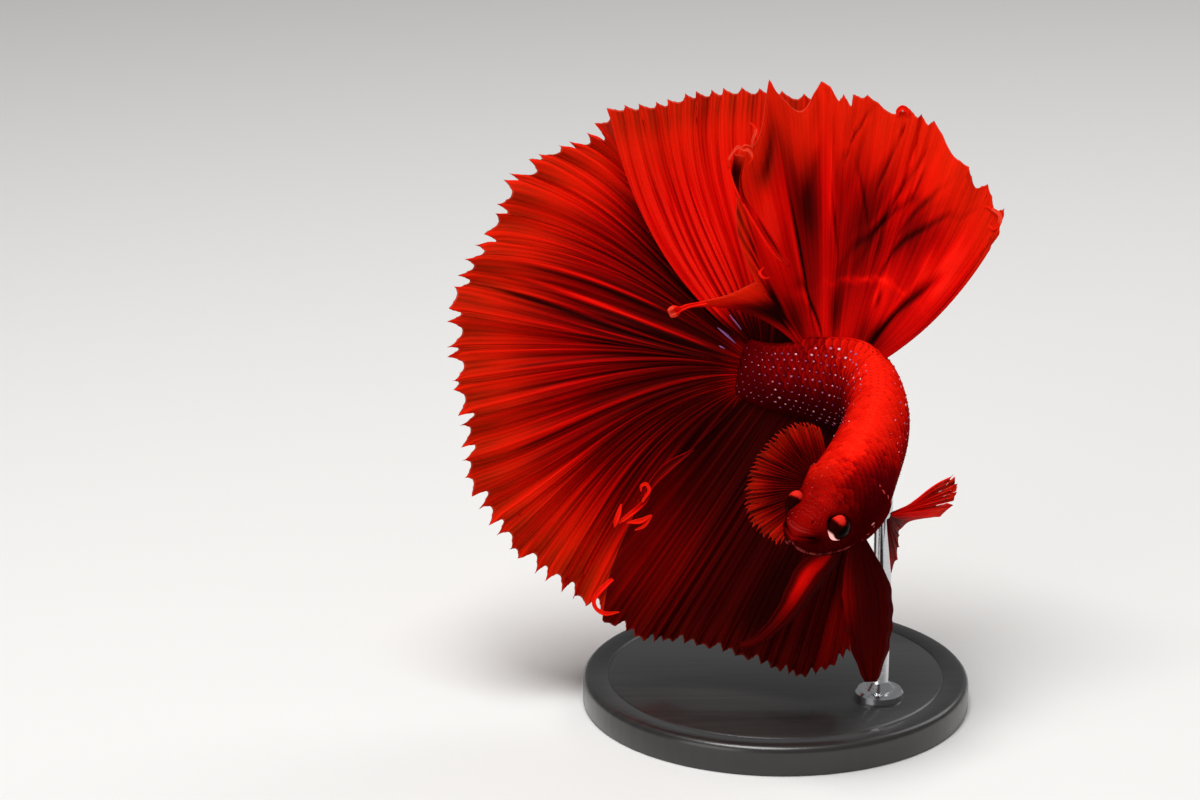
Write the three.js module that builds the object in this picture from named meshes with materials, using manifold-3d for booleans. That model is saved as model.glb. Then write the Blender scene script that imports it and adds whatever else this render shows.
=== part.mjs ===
// A male halfmoon betta in full display, life size, turning to its right over a plain round stand.
// Units are millimetres and +Z is up. The origin is the middle of the stand's underside.
//
// The fish is modelled in its display plane, the plane in which it spreads its fins: x to the side,
// y up the plane and z out of it, towards the viewer. The whole fish then leans back on the stand.
import * as THREE from "three";
import { mergeVertices } from "three/addons/utils/BufferGeometryUtils.js";
import Module from "manifold-3d";

const wasm = await Module();
wasm.setup();

// ---- Driving dimensions ----
const GAP = 0.3; // between neighbouring pieces
const LEAN = 18; // degrees, how far the display plane leans back from upright
const FISH_AT = [3, 5, 41]; // the display plane's own origin, over the stand

const BASE_RADIUS = 26;
const BASE_THICKNESS = 4;
const BASE_BEVEL = 0.8;
const ROD_RADIUS = 1.2;
const ROD_FOOT_RADIUS = 3.2;
const ROD_FOOT_HEIGHT = 1;
const ROD_AT = [13.4, -8.7]; // x and y on the base

const BODY_LENGTH = 51.2; // snout to the root of the tail fin
const BODY_SIDES = 20;

// One row for each station of the body: distance from the snout, the spine's x, y and z there,
// the direction of the back, and the half width, height over the spine and depth under it.
const BODY = [
  [0.0, -2.7, -17.6, 29.2, 0.05, 0.77, 0.62, 0.9, 0.6, 1.0],
  [1.6, -1.8, -17.0, 28.2, 0.05, 0.77, 0.62, 2.4, 1.7, 2.7],
  [5.0, 0.4, -15.6, 26.1, 0.05, 0.77, 0.62, 3.9, 3.4, 5.0],
  [11.4, 4.2, -12.6, 22.0, 0.05, 0.75, 0.66, 5.4, 5.3, 7.2],
  [18.7, 7.2, -8.2, 17.0, 0.05, 0.75, 0.66, 4.9, 6.4, 6.9],
  [26.4, 9.3, -2.8, 11.5, 0.06, 0.78, 0.62, 4.3, 6.8, 7.0],
  [33.4, 7.9, 1.0, 6.0, 0.08, 0.82, 0.56, 3.7, 7.0, 6.7],
  [40.4, 2.0, 2.6, 2.4, 0.1, 0.87, 0.47, 2.8, 5.8, 5.6],
  [46.7, -4.1, 3.3, 0.5, 0.13, 0.91, 0.38, 1.9, 4.6, 4.6],
  [51.2, -8.4, 4.5, 0.0, 0.15, 0.93, 0.33, 1.2, 4.1, 4.2],
];

// The body's own pieces, from the first distance to the last.
const BODY_PIECES = [
  ["shoulders", 15.1, 26],
  ["trunk", 26.3, 40],
  ["tail_stalk", 40.3, BODY_LENGTH],
];
const HEAD_LENGTH = 14.8;

const EYE = { behindSnout: 5.3, aboveSpine: 1.0, out: 3.4, radius: 1.55, bulge: 1.25, forward: 0.2 };

// The mouth is a thin upturned cut: where it opens at the snout, and the jaw's own length.
const MOUTH = { opensAt: 0.1, cornerAt: -1.0, jawLength: 4.2 };

// The gill covers stand away from the head towards their rear edge.
const GILL_COVER = { front: 8.6, rear: 13.9, top: 32, bottom: -78, lift: 0.2, flare: 1.0, thickness: 0.6 };

// Each fin is a fan of rays. A row is one ray: its place from the first ray to the last, its angle in
// the display plane in degrees, its length, how far its tip stands out towards the viewer from its
// root, and how far its middle bows to the ray's left.
const CAUDAL = {
  rows: [
    [0.0, 74, 34.4, -0.6, 0],
    [0.08, 91.5, 34.3, 0.4, 0],
    [0.18, 108.5, 34.4, 1.3, 0.3],
    [0.215, 114.5, 35.4, 1.6, 0.6],
    [0.238, 118.5, 36.4, 1.8, 1.0],
    [0.272, 124, 35.6, -3.4, 0.8],
    [0.34, 135.5, 38.0, -2.6, 0],
    [0.385, 143, 39.2, -2.0, 0],
    [0.43, 150.5, 37.6, -1.3, 0],
    [0.5, 162.5, 39.4, -0.4, 0],
    [0.58, 176, 39.0, 0.7, 0],
    [0.65, 188, 37.9, 0.7, 0],
    [0.73, 201.5, 39.1, 0.6, 0],
    [0.82, 216.5, 38.1, 0, 0],
    [0.91, 232, 36.3, -1.2, 0],
    [1.0, 247, 35.0, -1.9, 0],
  ],
  teeth: 54,
  toothDepth: 1.3,
  pleats: 15,
  pleatDepth: 0.75,
};
const DORSAL = {
  rows: [
    [0.0, 46, 22.0, 0.5, -2.2],
    [0.07, 49, 25.2, 2.0, -1.6],
    [0.16, 62, 27.6, 2.5, -0.6],
    [0.3, 72, 31.6, 1.0, 0],
    [0.42, 76, 32.4, 0.5, 0],
    [0.54, 83, 33.4, 2.0, 0],
    [0.64, 87, 33.4, 1.5, 0],
    [0.73, 90, 35.2, 0.5, 0],
    [0.79, 95, 32.4, 1.5, 0],
    [0.85, 100, 36.4, 2.5, 0.4],
    [0.9, 110, 27.2, 4.5, 1.0],
    [0.95, 120, 11.8, 3.5, 0],
    [1.0, 164, 18.0, 4.5, 0.6],
  ],
  teeth: 11,
  toothDepth: 1.4,
  pleats: 6,
  pleatDepth: 0.7,
};
const ANAL = {
  rows: [
    [0.0, 264, 25.2, -5.0, 0],
    [0.1, 259, 29.0, -3.5, 0],
    [0.2, 254, 32.0, -1.5, 0],
    [0.34, 249, 33.6, 0, 0],
    [0.5, 242, 34.8, 0.5, 0],
    [0.64, 238, 36.0, 1.0, 0],
    [0.78, 236.5, 37.2, 2.0, 0],
    [0.87, 235, 36.4, 3.0, 0],
    [0.93, 233, 35.6, 4.5, 0],
    [1.0, 224, 20.2, 5.5, 0],
  ],
  teeth: 26,
  toothDepth: 1.1,
  pleats: 10,
  pleatDepth: 0.6,
};
const RIGHT_PECTORAL = {
  rows: [
    [0.0, 93, 7.4, -0.2, -0.4],
    [0.12, 108, 8.4, -0.4, 0],
    [0.35, 142, 8.7, -0.8, 0],
    [0.6, 178, 9.4, -1.0, 0],
    [0.78, 203, 10.0, -0.9, 0],
    [1.0, 234, 9.0, -0.5, 0],
  ],
  root: [2.0, -11.2, 15.6],
  teeth: 12,
  toothDepth: 0.9,
  pleats: 12,
  pleatDepth: 0.12,
};
const LEFT_PECTORAL = {
  rows: [
    [0.0, 29, 9.0, -0.8, 0.8],
    [0.2, 17, 9.4, -2.0, 0.2],
    [0.4, 4, 8.8, -3.0, 0],
    [0.55, -7, 6.8, -4.4, 0],
    [0.68, -40, 3.0, -4.6, 0],
    [0.82, -66, 4.6, -4.2, 0],
    [1.0, -84, 7.2, -2.8, 0],
  ],
  root: [10.1, -14.8, 18.2],
  teeth: 9,
  toothDepth: 0.9,
  pleats: 9,
  pleatDepth: 0.12,
};

// A ventral fin is a long blade. A row is a place along it, from root to tip: its middle's x, y and z
// and its half width there.
const RIGHT_VENTRAL = [
  [0.0, 4.2, -17.0, 16.6, 0.9],
  [0.15, 2.6, -20.2, 15.8, 1.5],
  [0.3, 0.6, -22.4, 15.2, 2.0],
  [0.45, -0.9, -24.8, 14.8, 1.8],
  [0.6, -2.3, -27.1, 14.3, 1.4],
  [0.75, -4.2, -29.4, 13.8, 1.0],
  [0.88, -6.4, -31.3, 13.2, 0.7],
  [1.0, -8.8, -32.1, 12.6, 0.4],
];
const LEFT_VENTRAL = [
  [0.0, 6.5, -17.6, 16.2, 0.9],
  [0.15, 7.1, -21.0, 15.6, 2.2],
  [0.35, 7.8, -24.6, 15.0, 3.2],
  [0.5, 8.1, -27.2, 14.5, 3.2],
  [0.7, 8.3, -30.3, 14.0, 2.9],
  [0.87, 8.4, -33.4, 13.6, 2.1],
  [1.0, 8.5, -36.6, 13.2, 0.8],
];

// ---- Small mathematics ----
const vector = (x, y, z) => new THREE.Vector3(x, y, z);
const degrees = THREE.MathUtils.degToRad;

// A smooth line through rows of numbers whose first column rises: returns the other columns at a value.
function track(rows) {
  const slope = (a, b, column) => (b[column] - a[column]) / (b[0] - a[0]);
  const tangent = (i, column) => {
    if (i === 0) return slope(rows[0], rows[1], column);
    if (i === rows.length - 1) return slope(rows[i - 1], rows[i], column);
    const before = rows[i][0] - rows[i - 1][0];
    const after = rows[i + 1][0] - rows[i][0];
    const falling = slope(rows[i - 1], rows[i], column) * after;
    return (falling + slope(rows[i], rows[i + 1], column) * before) / (before + after);
  };
  return (value) => {
    let i = rows.findIndex((row) => row[0] > value) - 1;
    if (i < 0) i = value <= rows[0][0] ? 0 : rows.length - 2;
    const span = rows[i + 1][0] - rows[i][0];
    const s = (value - rows[i][0]) / span;
    return rows[i].slice(1).map((start, k) => {
      const end = rows[i + 1][k + 1];
      const leave = tangent(i, k + 1) * span;
      const arrive = tangent(i + 1, k + 1) * span;
      const square = s * s;
      const cube = square * s;
      return (
        start * (2 * cube - 3 * square + 1) +
        leave * (cube - 2 * square + s) +
        end * (3 * square - 2 * cube) +
        arrive * (cube - square)
      );
    });
  };
}

// ---- The body ----
const bodyAt = track(BODY);

// The spine's place at a distance from the snout, with the fish's own directions and sizes there.
function station(distance) {
  const [x, y, z, bx, by, bz, halfWidth, height, depth] = bodyAt(distance);
  const ahead = bodyAt(Math.max(distance - 0.5, 0));
  const behind = bodyAt(Math.min(distance + 0.5, BODY_LENGTH));
  const forward = vector(ahead[0] - behind[0], ahead[1] - behind[1], ahead[2] - behind[2]).normalize();
  const back = vector(bx, by, bz);
  back.addScaledVector(forward, -back.dot(forward)).normalize();
  const left = back.clone().cross(forward);
  return { place: vector(x, y, z), forward, back, left, halfWidth, height, depth };
}

// A point of the body's skin. The turn is 0 on the fish's left side and 90 degrees on its back.
function skinPoint(at, turn, swell) {
  const up = Math.sin(turn) > 0 ? at.height : at.depth;
  return at.place
    .clone()
    .addScaledVector(at.left, Math.cos(turn) * (at.halfWidth + swell))
    .addScaledVector(at.back, Math.sin(turn) * (up + swell));
}

// The body between two distances from the snout, with flat ends, made larger all round by swell.
function bodyLength(from, to, swell = 0) {
  const steps = Math.max(3, Math.round((to - from) / 1.7));
  const rings = [];
  for (let i = 0; i <= steps; i++) {
    const at = station(from + ((to - from) * i) / steps);
    const ring = [];
    for (let k = 0; k < BODY_SIDES; k++) ring.push(skinPoint(at, (k * 2 * Math.PI) / BODY_SIDES, swell));
    rings.push(ring);
  }
  rings[0].forEach((p) => p.addScaledVector(station(from).forward, swell));
  rings.at(-1).forEach((p) => p.addScaledVector(station(to).forward, -swell));
  return closedLoft(rings);
}

// A closed solid through rings of points, capped at both ends.
function closedLoft(rings) {
  const positions = rings.flat();
  const around = rings[0].length;
  const faces = [];
  for (let i = 0; i < rings.length - 1; i++) {
    for (let k = 0; k < around; k++) {
      const a = i * around + k;
      const b = i * around + ((k + 1) % around);
      faces.push(a, a + around, b, b, a + around, b + around);
    }
  }
  const last = (rings.length - 1) * around;
  for (let k = 1; k < around - 1; k++) {
    faces.push(0, k, k + 1);
    faces.push(last, last + k + 1, last + k);
  }
  return solid(indexed(positions, faces));
}

function indexed(points, faces) {
  const geometry = new THREE.BufferGeometry().setFromPoints(points);
  geometry.setIndex(faces);
  return geometry;
}

// ---- Solids and meshes ----
// A closed three.js geometry as a manifold-3d solid.
function solid(geometry) {
  const bare = geometry.clone();
  bare.deleteAttribute("normal");
  bare.deleteAttribute("uv");
  const merged = mergeVertices(bare, 1e-4);
  return new wasm.Manifold(
    new wasm.Mesh({
      numProp: 3,
      vertProperties: merged.attributes.position.array,
      triVerts: new Uint32Array(merged.index.array),
    }),
  );
}

function geometryOf(made) {
  const { numProp, vertProperties, triVerts } = made.getMesh();
  const positions = new Float32Array((vertProperties.length / numProp) * 3);
  for (let i = 0; i < positions.length / 3; i++) {
    positions.set(vertProperties.subarray(i * numProp, i * numProp + 3), i * 3);
  }
  const geometry = new THREE.BufferGeometry();
  geometry.setAttribute("position", new THREE.BufferAttribute(positions, 3));
  geometry.setIndex(new THREE.BufferAttribute(triVerts, 1));
  geometry.computeVertexNormals();
  return geometry;
}

// The largest of the separate bodies of a solid.
function largest(made) {
  return made.decompose().sort((a, b) => b.volume() - a.volume())[0];
}

const paint = (color, roughness, metalness = 0) =>
  new THREE.MeshStandardMaterial({ color, roughness, metalness });
const SKIN = paint(0xc8140a, 0.4);
const FIN = paint(0xb80a06, 0.5);
const EYE_WET = paint(0x120606, 0.1);
const STAND = paint(0x1a1a1c, 0.45);
const STEEL = paint(0xb8babd, 0.3, 1);

const model = new THREE.Group();
const fish = new THREE.Group();
fish.rotation.x = degrees(90 - LEAN);
fish.position.set(...FISH_AT);
model.add(fish);

function addMesh(parent, name, geometry, material) {
  const mesh = new THREE.Mesh(geometry, material);
  mesh.name = name;
  parent.add(mesh);
  return mesh;
}

// ---- Fins ----
// How far the rim reaches at a place across a fin: 1 on a ray's point, 0 between two rays.
const pointedRim = (across, teeth) => {
  const part = (across * teeth) % 1;
  const tall = 0.7 + 0.3 * Math.sin(2.4 * Math.round(across * teeth));
  return tall * Math.pow(Math.abs(2 * part - 1), 1.6);
};

// A point in a fin's middle sheet: across from the first ray to the last, out from root to rim.
function finPoint(fin, rayAt, rootAt, across, out) {
  const [angle, length, stand, bow] = rayAt(across);
  const root = rootAt(across);
  const reach = length - fin.toothDepth * (1 - pointedRim(across, fin.teeth));
  const direction = vector(Math.cos(degrees(angle)), Math.sin(degrees(angle)), 0);
  const side = vector(-direction.y, direction.x, 0);
  const pleat = fin.pleatDepth * Math.pow(out, 1.2) * Math.sin(2 * Math.PI * fin.pleats * across);
  return root
    .clone()
    .addScaledVector(direction, reach * out)
    .addScaledVector(side, bow * 4 * out * (1 - out))
    .add(vector(0, 0, stand * out + pleat));
}

// A closed thin solid on the grid of points that sheet(across, out) gives.
function thinSolid(sheet, columns, rows, thickness, alongZ) {
  const grid = [];
  for (let i = 0; i <= columns; i++) {
    for (let j = 0; j <= rows; j++) grid.push(sheet(i / columns, j / rows));
  }
  const at = (i, j) => grid[THREE.MathUtils.clamp(i, 0, columns) * (rows + 1) + THREE.MathUtils.clamp(j, 0, rows)];
  const points = [];
  for (const face of [0.5, -0.5]) {
    for (let i = 0; i <= columns; i++) {
      for (let j = 0; j <= rows; j++) {
        const outwards = at(i, j + 1).clone().sub(at(i, j - 1));
        const acrossIt = at(i + 1, j).clone().sub(at(i - 1, j));
        const normal = alongZ ? vector(0, 0, 1) : outwards.cross(acrossIt).normalize();
        points.push(at(i, j).clone().addScaledVector(normal, face * thickness));
      }
    }
  }
  const sheetSize = (columns + 1) * (rows + 1);
  const index = (i, j) => i * (rows + 1) + j;
  const faces = [];
  for (let i = 0; i < columns; i++) {
    for (let j = 0; j < rows; j++) {
      const [a, b, c, d] = [index(i, j), index(i, j + 1), index(i + 1, j + 1), index(i + 1, j)];
      faces.push(a, b, c, a, c, d);
      faces.push(a + sheetSize, c + sheetSize, b + sheetSize, a + sheetSize, d + sheetSize, c + sheetSize);
    }
  }
  const rim = [];
  for (let i = 0; i < columns; i++) rim.push(index(i, 0));
  for (let j = 0; j < rows; j++) rim.push(index(columns, j));
  for (let i = columns; i > 0; i--) rim.push(index(i, rows));
  for (let j = rows; j > 0; j--) rim.push(index(0, j));
  rim.forEach((a, k) => {
    const b = rim[(k + 1) % rim.length];
    faces.push(a, b, a + sheetSize, b, b + sheetSize, a + sheetSize);
  });
  const made = solid(indexed(points, faces));
  return made.volume() < 0 ? flipped(points, faces) : made;
}

function flipped(points, faces) {
  const turned = [];
  for (let i = 0; i < faces.length; i += 3) turned.push(faces[i], faces[i + 2], faces[i + 1]);
  return solid(indexed(points, turned));
}

const clearBody = bodyLength(0, BODY_LENGTH, GAP);

// A fin is cut clear of the body that it grows from.
function addThin(name, made) {
  addMesh(fish, name, geometryOf(largest(made.subtract(clearBody))), FIN);
}

function addFin(name, fin, rootAt, columns, rows, thickness, alongZ) {
  const rayAt = track(fin.rows);
  const sheet = (across, out) => finPoint(fin, rayAt, rootAt, across, out);
  addThin(name, thinSolid(sheet, columns, rows, thickness, alongZ));
}

// The tail fin's rays start on a narrow upright oval inside the end of the stalk, and lean as it does.
const TAIL_CENTRE = vector(-7.6, 4.3, 0);
const TAIL_ROOT = vector(0.6, 3.0, 1.6);
const caudalRayAt = track(CAUDAL.rows);
function tailRoot(across) {
  const angle = degrees(caudalRayAt(across)[0]);
  const onOval = vector(Math.cos(angle), Math.sin(angle), Math.sin(angle));
  return TAIL_CENTRE.clone().add(onOval.multiply(TAIL_ROOT));
}

const FIN_SUNK = 1; // how far the back and belly fins' rays start inside the body

// The point a short way from a centre along a ray's own angle.
function fanRoot(fin, centre, radius) {
  const rayAt = track(fin.rows);
  return (across) => {
    const angle = degrees(rayAt(across)[0]);
    return centre.clone().add(vector(Math.cos(angle) * radius, Math.sin(angle) * radius, 0));
  };
}

// The back and belly fins grow from the ridge of the back and the keel of the belly.
const ridgeRoot = (front, rear) => (across) => {
  const at = station(front + (rear - front) * across);
  return at.place.clone().addScaledVector(at.back, at.height - FIN_SUNK);
};
const keelRoot = (front, rear) => (across) => {
  const at = station(front + (rear - front) * across);
  return at.place.clone().addScaledVector(at.back, FIN_SUNK - at.depth);
};

const MEDIAN_THICKNESS = 0.8;
const PAIRED_THICKNESS = 0.6;
const PECTORAL_ROOT = 0.5;
addFin("caudal_fin", CAUDAL, tailRoot, 108, 3, MEDIAN_THICKNESS, true);
addFin("dorsal_fin", DORSAL, ridgeRoot(30.5, 42.5), 55, 4, MEDIAN_THICKNESS, true);
addFin("anal_fin", ANAL, keelRoot(24.5, 49), 52, 3, MEDIAN_THICKNESS, true);
for (const [name, fin, columns] of [
  ["pectoral_fin_right", RIGHT_PECTORAL, 24],
  ["pectoral_fin_left", LEFT_PECTORAL, 18],
]) {
  addFin(name, fin, fanRoot(fin, vector(...fin.root), PECTORAL_ROOT), columns, 3, PAIRED_THICKNESS, false);
}

const VENTRAL_CUP = 0.25; // how far a blade's edges turn back, for its half width

// A blade's middle sheet, widened at right angles to its middle line in the display plane.
function bladePoint(bladeAt, across, out) {
  const [x, y, z, halfWidth] = bladeAt(out);
  const [nextX, nextY] = bladeAt(out + 0.01);
  const side = vector(y - nextY, nextX - x, 0).normalize();
  const cup = VENTRAL_CUP * Math.pow(2 * across - 1, 2) * halfWidth;
  return vector(x, y, z - cup).addScaledVector(side, halfWidth * (2 * across - 1));
}

for (const [name, rows] of [
  ["ventral_fin_right", RIGHT_VENTRAL],
  ["ventral_fin_left", LEFT_VENTRAL],
]) {
  const bladeAt = track(rows);
  const sheet = (across, out) => bladePoint(bladeAt, across, out);
  addThin(name, thinSolid(sheet, 4, 10, PAIRED_THICKNESS, false));
}

// ---- The head ----
// A ball flattened towards the side that it looks to, on the left (1) or right (-1) of the head.
function eyeball(side, swell = 0) {
  const at = station(EYE.behindSnout);
  const outward = at.left.clone().multiplyScalar(side).addScaledVector(at.forward, EYE.forward).normalize();
  const upward = at.back.clone();
  const along = outward.clone().cross(upward);
  const centre = at.place
    .clone()
    .addScaledVector(at.left, side * EYE.out)
    .addScaledVector(at.back, EYE.aboveSpine);
  const ball = new THREE.SphereGeometry(1, 14, 8);
  ball.scale(EYE.radius + swell, EYE.radius + swell, EYE.bulge + swell);
  ball.applyMatrix4(new THREE.Matrix4().makeBasis(upward, along, outward).setPosition(centre));
  return solid(ball);
}

// The lower front of the head, under the line of the mouth, made larger all round by swell.
function jawRegion(swell) {
  const rings = [];
  const wide = 8;
  const steps = 4;
  for (let i = 0; i <= steps; i++) {
    const part = i / steps;
    const at = station(part * MOUTH.jawLength);
    const top = MOUTH.opensAt + (MOUTH.cornerAt - MOUTH.opensAt) * part + swell;
    const move = i === 0 ? wide : i === steps ? -swell : 0;
    const corner = (across, up) =>
      at.place
        .clone()
        .addScaledVector(at.left, across)
        .addScaledVector(at.back, up)
        .addScaledVector(at.forward, move);
    rings.push([corner(wide, top), corner(-wide, top), corner(-wide, -wide), corner(wide, -wide)]);
  }
  return closedLoft(rings);
}

// A gill cover is a patch that follows the cheek and stands away from it towards its rounded rear.
function gillCover(side, swell = 0) {
  const sheet = (across, out) => {
    const turn = GILL_COVER.bottom + (GILL_COVER.top - GILL_COVER.bottom) * across;
    const rounding = 1 - 0.45 * Math.pow(2 * across - 1.25, 2);
    const rear = GILL_COVER.front + (GILL_COVER.rear - GILL_COVER.front) * rounding + swell;
    const distance = GILL_COVER.front - swell + (rear - GILL_COVER.front + swell) * out;
    const stand = GILL_COVER.lift + GILL_COVER.flare * out * out;
    const turned = side > 0 ? degrees(turn) : Math.PI - degrees(turn);
    return skinPoint(station(distance), turned, stand);
  };
  return thinSolid(sheet, 7, 4, GILL_COVER.thickness + 2 * swell, false);
}

let head = bodyLength(0, HEAD_LENGTH).subtract(jawRegion(GAP));
for (const [side, sideName] of [
  [1, "left"],
  [-1, "right"],
]) {
  head = head.subtract(eyeball(side, GAP)).subtract(gillCover(side, GAP));
  addMesh(fish, "eye_" + sideName, geometryOf(eyeball(side)), EYE_WET);
  addMesh(fish, "gill_cover_" + sideName, geometryOf(gillCover(side)), SKIN);
}
addMesh(fish, "head", geometryOf(largest(head)), SKIN);
addMesh(fish, "lower_jaw", geometryOf(bodyLength(0, HEAD_LENGTH).intersect(jawRegion(0))), SKIN);

// ---- The rest of the body ----
for (const [name, from, to] of BODY_PIECES) {
  addMesh(fish, name, geometryOf(bodyLength(from, to)), SKIN);
}

// ---- Stand ----
const stand = new THREE.Group();
model.add(stand);

// A turned shape, from a profile of radius and height.
function turned(profile, sides) {
  const lathe = new THREE.LatheGeometry(profile.map(([r, z]) => new THREE.Vector2(r, z)), sides);
  return lathe.rotateX(degrees(90));
}

const base = turned(
  [
    [0, 0],
    [BASE_RADIUS, 0],
    [BASE_RADIUS, BASE_THICKNESS - BASE_BEVEL],
    [BASE_RADIUS - BASE_BEVEL, BASE_THICKNESS],
    [0, BASE_THICKNESS],
  ],
  48,
);
addMesh(stand, "stand_base", base, STAND);

// The rod stands on its own foot, and its top ends just under the belly.
const rodLength = FISH_AT[2];
const rod = turned(
  [
    [0, 0],
    [ROD_FOOT_RADIUS, 0],
    [ROD_FOOT_RADIUS, ROD_FOOT_HEIGHT],
    [ROD_RADIUS, ROD_FOOT_HEIGHT],
    [ROD_RADIUS, rodLength],
    [0, rodLength],
  ],
  16,
).translate(...ROD_AT, BASE_THICKNESS + GAP);
fish.updateMatrix();
const rodUnderFish = solid(rod).subtract(clearBody.transform(fish.matrix.elements));
const rodPieces = rodUnderFish.decompose();
rodPieces.sort((a, b) => a.boundingBox().min[2] - b.boundingBox().min[2]);
addMesh(stand, "stand_rod", geometryOf(rodPieces[0]), STEEL);

export default model;
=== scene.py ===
"""A male halfmoon betta in full display, life size, on a plain round stand."""

from math import pi, radians

import bmesh
import bpy
import numpy as np
from mathutils import Matrix, Vector


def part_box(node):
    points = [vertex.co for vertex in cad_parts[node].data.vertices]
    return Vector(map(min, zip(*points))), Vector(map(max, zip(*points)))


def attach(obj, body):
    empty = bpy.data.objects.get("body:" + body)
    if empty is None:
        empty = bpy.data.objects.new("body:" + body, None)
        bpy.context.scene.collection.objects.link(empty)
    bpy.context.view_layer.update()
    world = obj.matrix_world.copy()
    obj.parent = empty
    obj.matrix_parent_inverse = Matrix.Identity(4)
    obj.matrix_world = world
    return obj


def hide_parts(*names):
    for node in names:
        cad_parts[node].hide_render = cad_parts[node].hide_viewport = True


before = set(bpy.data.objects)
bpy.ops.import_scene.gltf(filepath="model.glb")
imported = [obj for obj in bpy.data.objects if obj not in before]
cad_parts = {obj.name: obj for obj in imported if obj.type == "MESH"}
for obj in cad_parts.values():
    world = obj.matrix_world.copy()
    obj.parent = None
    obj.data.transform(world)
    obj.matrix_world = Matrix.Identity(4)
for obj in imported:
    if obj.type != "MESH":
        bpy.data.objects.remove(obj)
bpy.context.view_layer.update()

# ---- Camera ----
# The fish spreads its fins in one plane, which leans back on the stand. The camera looks square at
# that plane from half a metre away, with the fish to the right of its middle.
MM = 0.001
UPRIGHT = radians(90 - 18)  # the plane of the fins leans back by 18 degrees
FISH_AT = Vector((3, 5, 41))  # millimetres, from the middle of the stand's underside
CAMERA_AT = Vector((-26.7, 0, 500))  # millimetres in the plane of the fins: to the side, up, out of it

spread_plane = Matrix.Scale(MM, 4) @ Matrix.Translation(FISH_AT) @ Matrix.Rotation(UPRIGHT, 4, "X")
camera = bpy.data.objects.new("camera", bpy.data.cameras.new("camera"))
bpy.context.scene.collection.objects.link(camera)
bpy.context.scene.camera = camera
camera.data.lens = 112.5
camera.location = spread_plane @ CAMERA_AT
camera.rotation_euler = (UPRIGHT, 0, 0)


# ---- Skin ----
# One seamless skin from the snout to the root of the tail fin, cast in tinted resin. It has the lips,
# nostrils, eye sockets, gill covers and the fleshy ridges that the back and belly fins grow from.
BODY_LENGTH = 51.2
COAT = 0.12  # how far the skin lies under the solids, for the scales
# Each station: distance from the snout, the spine's place, the way to the back, half width, height, depth.
BODY = [
    [0, -2.7, -17.6, 29.2, 0.05, 0.77, 0.62, 0.9, 0.6, 1],
    [1.6, -1.8, -17, 28.2, 0.05, 0.77, 0.62, 2.4, 1.7, 2.7],
    [5, 0.4, -15.6, 26.1, 0.05, 0.77, 0.62, 3.9, 3.4, 5],
    [11.4, 4.2, -12.6, 22, 0.05, 0.75, 0.66, 5.4, 5.3, 7.2],
    [18.7, 7.2, -8.2, 17, 0.05, 0.75, 0.66, 4.9, 6.4, 6.9],
    [26.4, 9.3, -2.8, 11.5, 0.06, 0.78, 0.62, 4.3, 6.8, 7],
    [33.4, 7.9, 1, 6, 0.08, 0.82, 0.56, 3.7, 7, 6.7], [40.4, 2, 2.6, 2.4, 0.1, 0.87, 0.47, 2.8, 5.8, 5.6],
    [46.7, -4.1, 3.3, 0.5, 0.13, 0.91, 0.38, 1.9, 4.6, 4.6],
    [51.2, -8.4, 4.5, 0, 0.15, 0.93, 0.33, 1.2, 4.1, 4.2],
]
SNOUT_ROUNDING, STALK_TAPER = 0.9, 3.4
SKIN_COLUMNS, SKIN_ROWS, CLOSER_ON_HEAD = 380, 152, 1.35
EYE = {"behind_snout": 5.3, "above_spine": 1.12, "out": 3.42, "radius": 1.76, "bulge": 1.18, "forward": 0.2}
SOCKET_FLOOR = -1.6  # how far behind an eyeball's middle its socket still shapes the skin
GILL_COVER = {"front": 8.6, "rear": 13.9, "top": 32, "bottom": -78}  # two distances and two turns in degrees
MOUTH = {"opens_at": 0.85, "fall": -0.07, "length": 2.3}
# The edge of the lower jaw: distance from the snout, turn in degrees from the middle of the side.
JAW_EDGE = [[0, -50], [0.7, -49], [2.1, -43], [4, -42], [5.9, -36], [7.9, -31], [10.2, -29], [13, -40]]
RIDGES = [(30, 43, pi / 2), (24, 49.5, -pi / 2)]  # from, to and turn: the bases of the back and belly fins


def unit(vectors):
    return vectors / np.linalg.norm(vectors, axis=-1, keepdims=True)


def ease(value, start, end):
    """Goes smoothly from 0 at start to 1 at end, whichever of them is the greater."""
    part = np.clip((value - start) / (end - start), 0, 1)
    return part * part * (3 - 2 * part)


def swelling(value, centre, width):
    """A soft bump, 1 at the centre."""
    return np.exp(-(((value - centre) / width) ** 2))


def inside(share, margin):
    """1 inside the ends of a length, and smoothly down to 0 at both."""
    return ease(np.minimum(share, 1 - share), 0, margin)


def wave(value):
    """A sine that comes round once for each whole number."""
    return np.sin(2 * pi * value)


def crest(value):
    """1 at whole numbers and 0 halfway between them."""
    return 0.5 + 0.5 * np.cos(2 * pi * value)


def track(rows):
    """A smooth line through rows of numbers whose first column rises: gives the other columns at a value."""
    table = np.array(rows, float)
    at, values = table[:, 0], table[:, 1:]
    step = np.diff(at)[:, None]
    slope = np.diff(values, axis=0) / step
    inner = (slope[:-1] * step[1:] + slope[1:] * step[:-1]) / (step[:-1] + step[1:])
    tangent = np.vstack([slope[:1], inner, slope[-1:]])

    def along(value):
        i = np.clip(np.searchsorted(at, value, "right") - 1, 0, len(step) - 1)
        s = ((value - at[i]) / step[i, 0])[:, None]
        leave, arrive = tangent[i] * step[i], tangent[i + 1] * step[i]
        start = values[i] * (2 * s**3 - 3 * s**2 + 1) + leave * (s**3 - 2 * s**2 + s)
        return start + values[i + 1] * (3 * s**2 - 2 * s**3) + arrive * (s**3 - s**2)

    return along


body_at, jaw_at = track(BODY), track(JAW_EDGE)


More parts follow.
